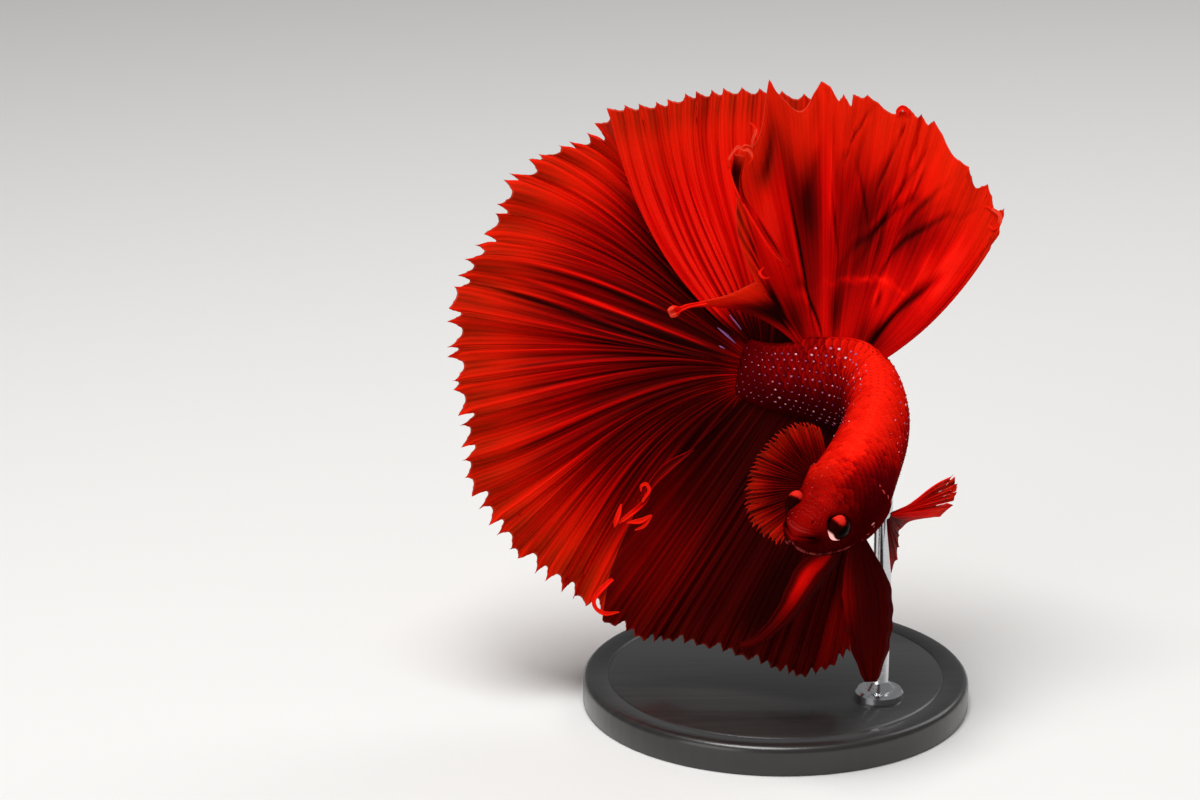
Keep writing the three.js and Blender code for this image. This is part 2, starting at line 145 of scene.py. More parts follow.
def station(distance):
    """The spine's places, forward, back and left directions, and the half width, height and depth."""
    rows = body_at(distance)
    ahead = body_at(np.maximum(distance - 0.5, 0))
    behind = body_at(np.minimum(distance + 0.5, BODY_LENGTH))
    forward = unit(ahead[:, :3] - behind[:, :3])
    back = rows[:, 3:6]
    back = unit(back - forward * (back * forward).sum(axis=1, keepdims=True))
    return rows[:, :3], forward, back, np.cross(back, forward), *rows[:, 6:9].T


def girth(distance, turn):
    """The body's half width, and its height or depth. The turn is 0 on its left side, pi / 2 on its back."""
    *_, half_width, height, depth = station(distance)
    return half_width, np.where(np.sin(turn) > 0, height, depth)


def body_points(distance, turn, swell=0):
    """Points of the body's skin, that far outside the plain body."""
    place, _, back, left, *_ = station(distance)
    half_width, up = girth(distance, turn)
    ends = np.minimum(distance / SNOUT_ROUNDING, (BODY_LENGTH - distance) / SNOUT_ROUNDING)
    closing = np.sqrt(1 - (1 - np.clip(ends, 0, 1)) ** 2)
    tapering = np.sqrt(1 - (1 - np.clip((BODY_LENGTH - distance) / STALK_TAPER, 0, 1)) ** 2)
    sideways = np.cos(turn) * (half_width + swell) * closing * tapering
    upwards = np.sin(turn) * (up + swell) * closing
    return place + left * sideways[:, None] + back * upwards[:, None]


def eye_frame(side):
    """The middle of an eyeball and its upward, along and outward directions."""
    place, forward, back, left, *_ = (a[0] for a in station(np.array([EYE["behind_snout"]])))
    outward = unit(left * side + forward * EYE["forward"])
    centre = place + left * side * EYE["out"] + back * EYE["above_spine"]
    return centre, back, np.cross(outward, back), outward


def from_eye(points, side):
    """How far out from an eyeball's middle, and, in its radii, how far off its axis and how far above."""
    centre, upward, _, outward = eye_frame(side)
    height = (points - centre) @ outward
    lateral = points - centre - height[:, None] * outward
    return height, np.linalg.norm(lateral, axis=1) / EYE["radius"], lateral @ upward / EYE["radius"]


def above_side(turn):
    """Degrees up or down from the middle of the nearer side."""
    return np.degrees(np.arctan2(np.sin(turn), np.abs(np.cos(turn))))


def over_mouth(distance, turn):
    """How far a place on the skin is above the opening of the mouth."""
    return np.sin(turn) * girth(distance, turn)[1] - MOUTH["opens_at"] - MOUTH["fall"] * distance


def over_jaw_edge(distance, turn):
    """How far it is above the edge of the lower jaw, along the skin."""
    *_, depth = station(distance)
    return np.radians(above_side(turn) - jaw_at(np.minimum(distance, JAW_EDGE[-1][0]))[:, 0]) * depth


def off_ridge(distance, turn, middle):
    """How far it is to the side of a ridge."""
    return np.abs(np.angle(np.exp(1j * (turn - middle)))) * girth(distance, turn)[0]


def relief(distance, turn):
    """How far the skin's own forms stand over the plain body."""
    # The lips on both sides of the upturned mouth, and fine folds above them.
    above = over_mouth(distance, turn)
    lips = swelling(np.abs(above), 0.4, 0.24) - swelling(above, 0, 0.12)
    total = 0.18 * lips * ease(distance, MOUTH["length"], MOUTH["length"] * 0.75)
    total += 0.07 * np.cos(2 * pi * above / 0.36) * swelling(above, 0.85, 0.35) * ease(distance, 3.4, 2.2)
    # The edge of the lower jaw stands out as a soft ridge.
    total += 0.16 * swelling(over_jaw_edge(distance, turn), 0, 0.3) * ease(distance, 9.5, 7)
    # Nostrils: a raised ring round a pit.
    off_middle = np.abs(np.cos(turn)) * girth(distance, turn)[0]
    pit = np.hypot((distance - 2.9) / 0.24, (off_middle - 1.25) / 0.2)
    total += (np.sin(turn) > 0.3) * (0.12 * swelling(pit, 1.6, 0.7) - 0.35 * swelling(pit, 0, 1))
    # The gill covers rise to a free rear edge, with a groove behind it.
    across = (above_side(turn) - GILL_COVER["bottom"]) / (GILL_COVER["top"] - GILL_COVER["bottom"])
    length = (GILL_COVER["rear"] - GILL_COVER["front"]) * (1 - 0.45 * (2 * across - 1.25) ** 2)
    out = (distance - GILL_COVER["front"]) / np.maximum(length, 0.5)
    cover = (0.1 * ease(out, 0, 0.3) + 0.3 * np.clip(out, 0, 1) ** 2) * ease(out, 1.07, 1)
    cover -= 0.14 * swelling(out, 1.1, 0.05) + 0.1 * swelling(out, 0, 0.06)
    total += cover * ease(across, -0.12, 0.12) * ease(across, 1.1, 0.86)
    # Fleshy bases of the back and belly fins.
    for start, end, middle in RIDGES:
        held = ease(distance, start - 1, start + 2) * ease(distance, end, end - 2)
        total += 0.55 * held * swelling(off_ridge(distance, turn, middle), 0, 0.7)
    return total


def sockets(points):
    """How far the skin stands round each eye: a rim, thicker above as a lid, and a hollow under the ball."""
    total = np.zeros(len(points))
    for side in (1, -1):
        height, radius, above = from_eye(points, side)
        rim = (0.16 + 0.08 * np.clip(above, -1, 1)) * swelling(radius, 1.14, 0.2)
        total += (height > SOCKET_FLOOR) * (rim - 1.5 * ease(radius, 1, 0.7))
    return total


def face_light_and_shade(distance, turn):
    """Where the face has painted highlight, up to 1, and painted shade, down to -1: highlight on the jaw edge
    and lips, shade in the mouth and at its corners.
    """
    above = over_mouth(distance, turn)
    total = (0.3 * swelling(above, 0.5, 0.14) + 0.25 * swelling(above, 0.86, 0.1)) * ease(distance, 2.6, 1.6)
    total -= 0.5 * swelling(above, 0, 0.13) * ease(distance, 2.3, 1.5)
    speckle = 0.65 + 0.35 * np.sin(distance * 9 + 3 * np.sin(distance * 4))
    off = over_jaw_edge(distance, turn) + 0.06 * np.sin(distance * 5)
    total += 0.6 * speckle * swelling(off, 0, 0.34) * ease(distance, 11, 7)
    corner = np.hypot((distance - 1.9) / 1.2, (above_side(turn) - 14) / 26)
    return total - 0.8 * swelling(corner, 0, 1)


def in_row(points):
    """Points of the fish, in millimetres in the plane of its fins, put on the stand in metres."""
    turned = np.array(spread_plane)
    return points @ turned[:3, :3].T + turned[:3, 3]


def piece_from(work, name, smooth=True):
    """A finished object from a bmesh, with every face pointing out of the piece."""
    bmesh.ops.recalc_face_normals(work, faces=work.faces)
    mesh = bpy.data.meshes.new(name)
    work.to_mesh(mesh)
    work.free()
    mesh.polygons.foreach_set("use_smooth", [smooth] * len(mesh.polygons))
    piece = bpy.data.objects.new(name, mesh)
    bpy.context.scene.collection.objects.link(piece)
    return piece


def move_to(work, points):
    for vertex, point in zip(work.verts, points):
        vertex.co = point


def lay_maps(work, maps, painted):
    """Gives a bmesh its UV maps and painted numbers. Each has one row for each vertex."""
    for name, rows in maps.items():
        layer = work.loops.layers.uv.new(name)
        for vertex, row in zip(work.verts, rows):
            for loop in vertex.link_loops:
                loop[layer].uv = row
    for name, numbers in painted.items():
        layer = work.verts.layers.float.new(name)
        for vertex, number in zip(work.verts, numbers):
            vertex[layer] = number


skin_mesh = bmesh.new()
bmesh.ops.create_grid(skin_mesh, x_segments=SKIN_COLUMNS, y_segments=SKIN_ROWS, size=0.5)
places = np.array([v.co for v in skin_mesh.verts])[:, :2] + 0.5
places[:, 0] **= CLOSER_ON_HEAD
skin_distance = BODY_LENGTH * places[:, 0]
skin_turn = 2 * pi * places[:, 1] - pi / 2  # from the keel, up the left side, to the keel again
# The skin carries the face's painted light and shade as a painted number.
lay_maps(skin_mesh, {"Lay": places, "OFBake": places}, {"Mark": face_light_and_shade(skin_distance, skin_turn)})
skin_swell = relief(skin_distance, skin_turn) + sockets(body_points(skin_distance, skin_turn)) - COAT
move_to(skin_mesh, in_row(body_points(skin_distance, skin_turn, skin_swell)))
bmesh.ops.remove_doubles(skin_mesh, verts=skin_mesh.verts, dist=1e-7)


class Flow:
    """A value that flows through a material's nodes. Arithmetic on it adds Math nodes."""

    def __init__(self, finish, socket):
        self.finish, self.socket = finish, socket

    def maths(self, operation, a, b):
        return self.finish.node("Math", {"operation": operation}, {0: a, 1: b})

    def __add__(self, other):
        return self.maths("ADD", self, other)

    def __sub__(self, other):
        return self.maths("SUBTRACT", self, other)

    def __rsub__(self, other):
        return self.maths("SUBTRACT", other, self)

    def __mul__(self, other):
        return self.maths("MULTIPLY", self, other)

    def __truediv__(self, other):
        return self.maths("DIVIDE", self, other)

    def __pow__(self, other):
        return self.maths("POWER", self, other)

    __radd__, __rmul__ = __add__, __mul__

    def wave(self):
        """1 at whole numbers and 0 halfway between them."""
        return self.maths("COSINE", self * (2 * pi), 0) * 0.5 + 0.5

    def ramp(self, start, end, low=0, high=1):
        """Goes smoothly from low at start to high at end."""
        ends = {"From Min": start, "From Max": end, "To Min": low, "To Max": high}
        return self.finish.node("MapRange", {"interpolation_type": "SMOOTHSTEP"}, {"Value": self} | ends)


class Finish:
    """One material as it is mixed."""

    def __init__(self, name):
        self.material = bpy.data.materials.new(name)
        self.material.use_nodes = True
        self.tree = self.material.node_tree
        self.tree.nodes.clear()

    def node(self, kind, settings, inputs, output=0):
        """Adds a node: its type, its settings, and the values or links of its sockets."""
        made = self.tree.nodes.new("ShaderNode" + kind)
        for name, value in settings.items():
            if name == "stops":
                self.set_stops(made.color_ramp.elements, value)
            else:
                setattr(made, name, value)
        for name, value in inputs.items():
            if isinstance(value, Flow):
                self.tree.links.new(value.socket, made.inputs[name])
            else:
                made.inputs[name].default_value = value
        return Flow(self, made.outputs[output]) if made.outputs else made

    def set_stops(self, elements, stops):
        """Each stop of a colour ramp: its place, red, green and blue."""
        while len(elements) < len(stops):
            elements.new(1)
        for element, (position, *colour) in zip(elements, stops):
            element.position, element.color = position, (*colour, 1)

    def split(self, place, *axes):
        return [self.node("SeparateXYZ", {}, {"Vector": place}, axis) for axis in axes]

    def map_place(self, name):
        """The two coordinates of the piece's own UV map."""
        return self.split(self.node("UVMap", {"uv_map": name}, {}), "X", "Y")

    def object_place(self, *axes):
        return self.split(self.node("TexCoord", {}, {}, "Object"), *axes)

    def painted(self, name):
        """A number that the piece's points carry."""
        return self.node("Attribute", {"attribute_name": name}, {}, "Fac")

    def noise(self, x, y, z=0, detail=2):
        place = self.node("CombineXYZ", {}, {"X": x, "Y": y, "Z": z})
        return self.node("TexNoise", {}, {"Vector": place, "Scale": 1, "Detail": detail}, "Fac")

    def colours(self, value, *stops):
        return self.node("ValToRGB", {"stops": stops}, {"Fac": value})

    def blend(self, share, first, second):
        """From the first colour to the second as the share goes from 0 to 1."""
        first, second = (c if isinstance(c, Flow) else (*c, 1) for c in (first, second))
        settings = {"data_type": "RGBA", "clamp_factor": True}
        return self.node("Mix", settings, {0: share, 6: first, 7: second}, 2)

    def bump(self, height, distance):
        return self.node("Bump", {}, {"Height": height, "Strength": 1, "Distance": distance})

    def surface(self, inputs):
        return self.node("BsdfPrincipled", {}, inputs)

    def done(self, shader):
        """The material, from a shader or from the inputs of a plain surface."""
        shader = self.surface(shader) if isinstance(shader, dict) else shader
        self.node("OutputMaterial", {}, {"Surface": shader})
        return self.material


def dress(piece, material, slot, *replaced):
    """Gives a piece its material and its place in the model."""
    piece.data.materials.append(material)
    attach(piece, "root")
    if replaced:
        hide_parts(*replaced)


def flesh_colour(finish, along, around, tone):
    """The body's colour at a place on the skin: orange-red back, wine-red flanks, dark face and belly, with
    painted light and shade.
    """
    # The back is lighter than the flanks: partly the fish's own colour, partly painted light from above.
    backness = (around + 0.5).wave()
    mottle = finish.noise(along * 60, around * 46, detail=3) - 0.5
    # The neck and crown have painted shade on their left side and painted light on the right, and the back
    # darkens towards the tail.
    neck = along.ramp(0.1, 0.19) * along.ramp(0.29, 0.36, 1, 0)
    nape = along.ramp(0.08, 0.13) * along.ramp(0.19, 0.26, 1, 0)
    crown = along.ramp(0.12, 0.19) * along.ramp(0.24, 0.28, 0.13, 0)
    rear = along.ramp(0.58, 0.82) * backness.ramp(0.5, 1)
    side_light_and_shade = nape * around.ramp(0.51, 0.58, 0, 0.13) - neck * around.ramp(0.4, 0.56, 0.28, 0)
    side_light_and_shade = side_light_and_shade - crown * around.ramp(0.53, 0.58, 1, 0)
    lit = backness + mottle * 0.2 + tone + side_light_and_shade - rear * 0.34
    reds = [[0.05, 0.045, 0.0003, 0.0006], [0.42, 0.075, 0.0005, 0.002], [0.64, 0.2, 0.0007, 0.0012]]
    body = finish.colours(lit, *reds, [0.8, 0.6, 0.004, 0.0015], [0.95, 0.88, 0.012, 0.004])
    browns = [[0.1, 0.018, 0.0002, 0.0002], [0.5, 0.05, 0.0003, 0.0003], [0.78, 0.13, 0.0006, 0.0004]]
    head = finish.colours(lit, *browns, [1, 0.27, 0.002, 0.001])
    whole = finish.blend(along.ramp(0.12, 0.27), head, body)
    return finish.blend(along.ramp(0.85, 0.98, 0, 0.92), whole, (0.085, 0.0004, 0.0014))


WET = {"Metallic": 0.2, "Specular IOR Level": 0, "Specular Tint": (1, 0.2, 0.15, 1)}


def skin_finish():
    finish = Finish("betta_skin")
    along, around = finish.map_place("Lay")
    pores = finish.noise(along * 900, around * 600)
    # Painted highlight on the lips and jaw edge, and painted shade in the mouth and at its corners.
    face_light = finish.painted("Mark")
    colour = flesh_colour(finish, along, around, -0.06)
    flecks = finish.noise(along * 260, around * 90, 2).ramp(0.56, 0.72) * along.ramp(0.06, 0.2, 0.6, 0)
    flecked = finish.blend(flecks, colour, (0.3, 0.006, 0.006))
    broken = finish.noise(along * 420, around * 170, 1).ramp(0.4, 0.62, 0.3, 1)
    # Pale where painted highlight lies, near black where painted shade lies.
    highlighted = finish.blend(face_light.ramp(0, 0.8) * broken, flecked, (0.46, 0.07, 0.065))
    shaded = finish.blend(face_light.ramp(0, -1), highlighted, (0.008, 0.0001, 0.0001))
    return finish.done(
        {"Base Color": shaded, "Roughness": pores * 0.16 + 0.36, "Normal": finish.bump(pores, 0.00004)} | WET
    )


SOLID_FLESH = ("head", "lower_jaw", "gill_cover_left", "gill_cover_right", "shoulders", "trunk", "tail_stalk")
dress(piece_from(skin_mesh, "skin"), skin_finish(), "skin", *SOLID_FLESH)


# ---- Scales ----
# Thin cast scales lie over the skin in staggered rows and overlap towards the tail, as roof tiles do.
# They are small on the head and the tail stalk, and leave the eyes, lips and fin bases free.
# Each band: distance from the snout, scales round the body, and the way from one row to the next.
SCALE_BANDS = [(3.2, 26, 0.36), (6, 26, 0.42), (12, 24, 0.5), (19, 20, 0.53), (24, 14, 0.55), (46, 13, 0.5)]
SCALES_TO = 50.4
SCALE_THICKNESS, HEAD_SCALE_THICKNESS = 0.032, 0.02
CLEAR_OF_EYE, CLEAR_OF_RIDGE = 1.35, 0.55  # in radii of the eyeball, and in millimetres
CHIN_TO, OFF_BODY_ENDS = 7, 0.05
PATCH = 0.003  # of the coat's unwrap, for each scale
chance = np.random.default_rng(11)


def pressed_ball(segments, rings):
    """The points of a small ball, and a mesh of it to repeat."""
    work = bmesh.new()
    bmesh.ops.create_uvsphere(work, u_segments=segments, v_segments=rings, radius=1)
    mesh = bpy.data.meshes.new("pressed_ball")
    work.to_mesh(mesh)
    work.free()
    return np.array([v.co for v in mesh.vertices]), mesh


def skin_arc(distance, turn):
    """How many millimetres of skin there are to a radian of turn."""
    half_width, up = girth(distance, turn)
    return np.hypot(half_width * np.sin(turn), up * np.cos(turn))


def scattered(name, ball, distance, *sizes):
    """Many copies of one small ball on the skin, joined in one piece, each following the body's curve.

    The sizes are turn, tone, half length, half width, thickness, lift and tilt, for each copy or for all.
    """
    shape, mesh = ball
    work = bmesh.new()
    for _ in distance:
        work.from_mesh(mesh)
    local = np.tile(shape, (len(distance), 1))
    root, spin, shade, long, wide, thick, raised, leaning = (
        np.repeat(np.broadcast_to(size, distance.shape), len(shape)) for size in (distance, *sizes)
    )
    at = np.clip(root + local[:, 0] * long, OFF_BODY_ENDS, BODY_LENGTH - OFF_BODY_ENDS)
    to = spin + local[:, 1] * wide / skin_arc(root, spin)
    stand = raised + leaning * local[:, 0] + thick * local[:, 2]
    move_to(work, in_row(body_points(at, to, relief(at, to) - COAT + stand)))
    place, own = np.stack([root / BODY_LENGTH, (spin + pi / 2) / (2 * pi) % 1], 1), local[:, :2] / 2
    lay_maps(work, {"Lay": place, "Plate": own + 0.5, "OFBake": place + own * PATCH}, {"Tone": shade})
    return piece_from(work, name)


def lattice():
    """The staggered places of the scales: distance from the snout, turn, pitch and number round the body."""
    found, distance, odd = [], SCALE_BANDS[0][0], 0
    while distance < SCALES_TO:
        _, columns, pitch = max(band for band in SCALE_BANDS if band[0] <= distance + 1e-6)
        for column in range(columns):
            found.append((distance, 2 * pi * (column + odd / 2) / columns - pi / 2, pitch, columns))
        distance, odd = distance + pitch, 1 - odd
    return np.array(found).T


def clear_of_features(distance, turn):
    """True where a scale can lie: not on the eyes, fin bases or chin."""
    free = (distance >= CHIN_TO) | (np.sin(turn) >= -0.1)
    for side in (1, -1):
        height, radius, _ = from_eye(body_points(distance, turn), side)
        free &= (radius > CLEAR_OF_EYE) | (height < SOCKET_FLOOR)
    for start, end, middle in RIDGES:
        free &= (distance < start) | (distance > end) | (off_ridge(distance, turn, middle) > CLEAR_OF_RIDGE)
    return free


scale_at, scale_turn, scale_pitch, scale_columns = lattice()[:, clear_of_features(*lattice()[:2])]
scale_tone = chance.uniform(0, 1, len(scale_at))
scale_arc = skin_arc(scale_at, scale_turn) * 2 * pi / scale_columns
scale_thickness = HEAD_SCALE_THICKNESS + (SCALE_THICKNESS - HEAD_SCALE_THICKNESS) * ease(scale_at, 7, 17)
# The first scales lie in the skin, and the rest rise from it little by little.
emerging = ease(scale_at, 3.6, 8) * (1 - ease(scale_at, 11, 7) * ease(np.sin(scale_turn), 0.4, -0.1))
scale_lift = (0.058 + 0.027 * ease(scale_at, 11, 17)) * emerging - 0.035
scale_sizes = (scale_pitch * 1.8, scale_arc * 0.7, scale_thickness, scale_lift, scale_thickness * 0.8)
scales = scattered("scales", pressed_ball(10, 4), scale_at, scale_turn, scale_tone, *scale_sizes)


def scale_finish():
    finish = Finish("betta_scale")
    along, around = finish.map_place("Lay")
    rearward, across = finish.map_place("Plate")
    tone = finish.painted("Tone")
    edge = rearward.ramp(0.6, 0.95) * along.ramp(0.08, 0.3, 0.24, 0.3)
    colour = flesh_colour(finish, along, around, tone * along.ramp(0.1, 0.4, 0.2, 0.12) - 0.11)
    rim = finish.blend(edge * 2.2, colour, flesh_colour(finish, along, around, tone * 0.1 + 0.1))
    growth = (rearward * 9 + (across - 0.5) * (across - 0.5) * 6).wave()
    return finish.done(
        {"Base Color": rim, "Roughness": tone * 0.12 + 0.36, "Normal": finish.bump(growth, 0.00001)} | WET
    )


dress(scales, scale_finish(), "skin")

# ---- Flank gleams ----
# On each scale of the flanks sits one small dot of mirror-like pigment, pinkish white to violet.
# They are thin lenses of pearl lacquer, largest near the ridge of the back.
GLEAM_SIZE = 0.165
GLEAMS_FROM, GLEAMS_TO, GLEAMS_MIDDLE = 19, 50.2, 33
small_ball = pressed_ball(8, 4)
flank = np.abs(np.cos(scale_turn))
near_middle = swelling(scale_at, GLEAMS_MIDDLE, 8)
on_flank = (scale_at > GLEAMS_FROM) & (scale_at < GLEAMS_TO) & (flank > 0.5 - 0.16 * near_middle)
gleam_share = ease(scale_at, GLEAMS_FROM, 30) * ease(flank, 0.3, 0.7)
inner_bend = ease(scale_at, 21, 25) * ease(scale_at, 36, 32) * ease(-np.cos(scale_turn), 0.5, 0.85)
gleam_odds = (0.35 + 0.65 * gleam_share) * (1 - 0.6 * inner_bend)
gleam_here = on_flank & (chance.uniform(0, 1, len(scale_at)) < gleam_odds)
gleam_size = GLEAM_SIZE * chance.uniform(0.55, 1.2, len(scale_at)) * (0.6 + 0.4 * gleam_share)
gleam_size *= (1 - 0.4 * ease(scale_at, 44, 49)) * (1 + swelling(flank, 0.44, 0.17) * near_middle)
gleam_at = scale_at + 0.28 + chance.uniform(-0.1, 0.1, len(scale_at))
gleam_turn = scale_turn + chance.uniform(-0.025, 0.025, len(scale_at))
gleam_at, gleam_turn, gleam_size = (values[gleam_here] for values in (gleam_at, gleam_turn, gleam_size))
gleam_tone = chance.uniform(0, 1, len(gleam_at))
gleam_sizes = (gleam_turn, gleam_tone, gleam_size, gleam_size * 0.75, 0.05, 0.125, 0.02)
gleams = scattered("gleams", small_ball, gleam_at, *gleam_sizes)


def gleam_finish():
    finish = Finish("pearl_pigment")
    violets = [[0, 0.2, 0.06, 0.2], [0.4, 0.42, 0.08, 0.19], [0.75, 0.62, 0.18, 0.27], [1, 0.85, 0.42, 0.5]]
    colour = finish.colours(finish.painted("Tone"), *violets)
    return finish.done({"Base Color": colour, "Roughness": 0.35, "Specular IOR Level": 0.3})


pearl = gleam_finish()
dress(gleams, pearl, "skin")

# ---- Pale marks ----
# Small pale patches of pigment on the face: a spot on each cheek, a streak on the rear edge of each gill
# cover, specks over the right eye and fine dashes across the crown. They are painted lenses.
# Each: distance from the snout, turn in degrees from the left side, half length, half width, paleness.
CHEEK_MARKS = [
    [10.2, -4, 0.3, 0.24, 0.8], [9.9, -18, 0.22, 0.14, 0.6], [10.5, -10, 0.16, 0.14, 0.5],
    [9.4, -26, 0.1, 0.1, 0.5], [12.7, 36, 0.14, 0.3, 0.35], [12.6, 28, 0.12, 0.34, 0.5],
    [12.95, 17, 0.12, 0.32, 0.5], [13.5, 5, 0.12, 0.34, 0.4],
]
RIGHT_MARKS = [
    [2.24, 145, 0.05, 0.16, 0.6], [2.86, 135, 0.05, 0.14, 0.7], [2.35, 114, 0.04, 0.14, 0.4],
    [1.7, 128, 0.04, 0.12, 0.5], [10.7, 117, 0.16, 0.15, 0.6], [10.2, 135, 0.14, 0.12, 0.5],
    [9.1, 117, 0.14, 0.13, 0.6], [8.6, 129, 0.12, 0.11, 0.5], [7.9, 140, 0.1, 0.12, 0.5],
    [6.9, 120, 0.12, 0.11, 0.5], [5.9, 116, 0.1, 0.1, 0.4], [10.3, 85, 0.1, 0.1, 0.3],
]
marks = list(RIGHT_MARKS)
for distance, turn, *shape in CHEEK_MARKS:
    marks += [[distance, turn, *shape], [distance + 0.1, 180 - turn, *shape]]
for row, distance in enumerate((7.2, 6.3, 5.6, 4.9, 4.3, 3.7, 3.1)):
    for turn in range(56, 126, 7):
        at, to, length = chance.uniform((-0.08, -2, 0.12), (0.08, 2, 0.3))
        marks.append([distance + at, turn + to + 3 * (row % 2), 0.03, length, 0.1])
mark_at, mark_turn, mark_long, mark_wide, mark_pale = np.array(marks).T
mark_lift = 0.065 * ease(mark_at, 3, 8) + 0.005
mark_sizes = (np.radians(mark_turn), mark_pale, mark_long, mark_wide, 0.02, mark_lift, 0)
pale_marks = scattered("pale_marks", small_ball, mark_at, *mark_sizes)


def mark_finish():
    finish = Finish("pale_pigment")
    x, y = finish.map_place("OFBake")
    grain = finish.noise(x * 9000, y * 6000) * 0.4 - 0.2
    pinks = [[0.1, 0.34, 0.008, 0.006], [0.6, 0.55, 0.04, 0.035], [1, 0.7, 0.28, 0.24]]
    colour = finish.colours(finish.painted("Tone") + grain, *pinks)
    return finish.done({"Base Color": colour, "Roughness": grain + 0.5, "Specular IOR Level": 0.1})


dress(pale_marks, mark_finish(), "skin")

# ---- Eyes ----
# Each eye is a glass ball flattened towards its outer side, with a round black pupil. The iris is
# orange-red above, dark in the middle and silvery pink below. The orange-red top is partly painted light
# from above, and the pale crescent below is partly painted reflection and glows faintly.


def eye_finish():
    finish = Finish("glass_eye")
    upward, along = finish.map_place("Gaze")
    up, ahead = (upward - 0.5) * 2, (along - 0.5) * 2
    radius = (up * up + ahead * ahead) ** 0.5
    fibres = finish.noise(up * 9, ahead * 9, radius * 3, 3) - 0.5
    # The orange-red lobe at the top: the iris's own colour, brightened as painted light from above.
    lobe = (((up - 1.02) / 0.44) ** 2 + ((ahead - 0.05) / 0.44) ** 2) ** 0.5 + fibres * 0.5
    below = ahead * 0.62 - up * 0.75 + fibres * 0.06
    ring = ((ahead + 0.16) ** 2 + (up - 0.2) ** 2) ** 0.5
    reds = [[0.2, 0.014, 0.0004, 0.0004], [0.48, 0.06, 0.001, 0.0008], [0.7, 0.5, 0.01, 0.005]]
    iris = finish.colours(1.5 - lobe, *reds, [1, 0.68, 0.02, 0.012])
    # The pale crescent below: silvery iris and painted reflection.
    crescent = below.ramp(0.4, 0.64) * ring.ramp(0.94, 1.06)
    silver_and_reflection = finish.blend(crescent, iris, (1, 0.62, 0.56))
    pupil = finish.blend(radius.ramp(0.44, 0.5), (0.001, 0.0003, 0.0003), silver_and_reflection)
    # The crescent also glows a little, as painted reflection.
    crescent_glow = finish.blend(crescent, (0, 0, 0), (0.3, 0.06, 0.06))
    glass = {"Roughness": 0.22, "Specular IOR Level": 0.01, "Specular Tint": (1, 0.5, 0.4, 1)}
    return finish.done({"Base Color": pupil, "Emission Color": crescent_glow, "Emission Strength": 1.2} | glass)


eye_glass = eye_finish()
for side, side_name in ((1, "left"), (-1, "right")):
    centre, upward, forwards, outward = eye_frame(side)
    ball = bmesh.new()
    bmesh.ops.create_uvsphere(ball, u_segments=48, v_segments=32, radius=1)
    x, y, z = np.array([v.co for v in ball.verts]).T
    lay_maps(ball, {"Gaze": np.stack([x, y], 1) / 2 + 0.5}, {})
    cornea = 0.1 * swelling(np.hypot(x, y), 0, 0.5) * (z > 0)
    sized = np.stack([x * EYE["radius"], y * EYE["radius"], z * EYE["bulge"] + cornea], 1)
    move_to(ball, in_row(centre + sized @ np.array([upward, forwards, outward])))
    dress(piece_from(ball, "eyeball_" + side_name), eye_glass, "eye", "eye_" + side_name)

# ---- Tail fin ----
# A full half moon of soft rays with thin membrane between them, pressed in pleats and cast in tinted
# resin. Its front part lies folded over the rest, and its rim runs out in fine pale points.
# How sharp the points of the rim are, and in millimetres how thick the sheet is and how far a ray raises it.
PLAIN_FIN = {"spike": 1.5, "thickness": 0.22, "rib": 0.1}
NOTCH_AT = 0.42  # of the way from one tip to the next
BOW_SCALE = 6.75  # a first bow of 1 moves a ray by 1 mm at a third of its length
# Rays that stand out with a painted highlight: place across the fin, from and to on the way out, and how
# bright.
HIGHLIGHTED_RAYS = [
    [0.135, 0.1, 0.6, 0.3], [0.15, 0.12, 0.75, 0.35], [0.166, 0.1, 0.7, 0.3], [0.181, 0.12, 0.8, 0.4],
    [0.196, 0.1, 0.7, 0.35], [0.21, 0.12, 0.8, 0.35], [0.224, 0.1, 0.9, 0.3], [0.262, 0.1, 0.5, 0.2],
    [0.3, 0.3, 0.9, 0.25], [0.33, 0.2, 0.7, 0.2], [0.365, 0.3, 0.95, 0.3], [0.4, 0.15, 0.75, 0.25],
    [0.425, 0.35, 0.95, 0.2], [0.452, 0.2, 0.9, 0.35], [0.475, 0.3, 0.95, 0.35], [0.497, 0.1, 0.98, 0.4],
    [0.512, 0.1, 0.95, 0.45], [0.53, 0.15, 0.98, 0.3], [0.548, 0.05, 0.7, 0.4], [0.57, 0.05, 0.6, 0.4],
    [0.6, 0.1, 0.9, 0.25], [0.63, 0.3, 0.98, 0.2], [0.67, 0.1, 0.8, 0.2], [0.71, 0.2, 0.95, 0.25],
    [0.745, 0.3, 0.9, 0.2], [0.79, 0.1, 0.8, 0.25], [0.84, 0.25, 0.98, 0.25], [0.88, 0.3, 0.9, 0.2],
    [0.93, 0.35, 0.95, 0.25],
]
HIGHLIGHT_WIDTH, GROOVE_SHADE_WIDTH, GROOVE_SHADE_OFF = 0.0016, 0.002, 0.0045  # of the fin's width


def spread(columns, rows, closer=1.2):
    """Places over a sheet: across and out, both from 0 to 1, closer together at the rim."""
    out = 1 - (1 - np.linspace(0, 1, rows + 1)) ** closer
    across, out = np.meshgrid(np.linspace(0, 1, columns + 1), out)
    return across.ravel(), out.ravel()


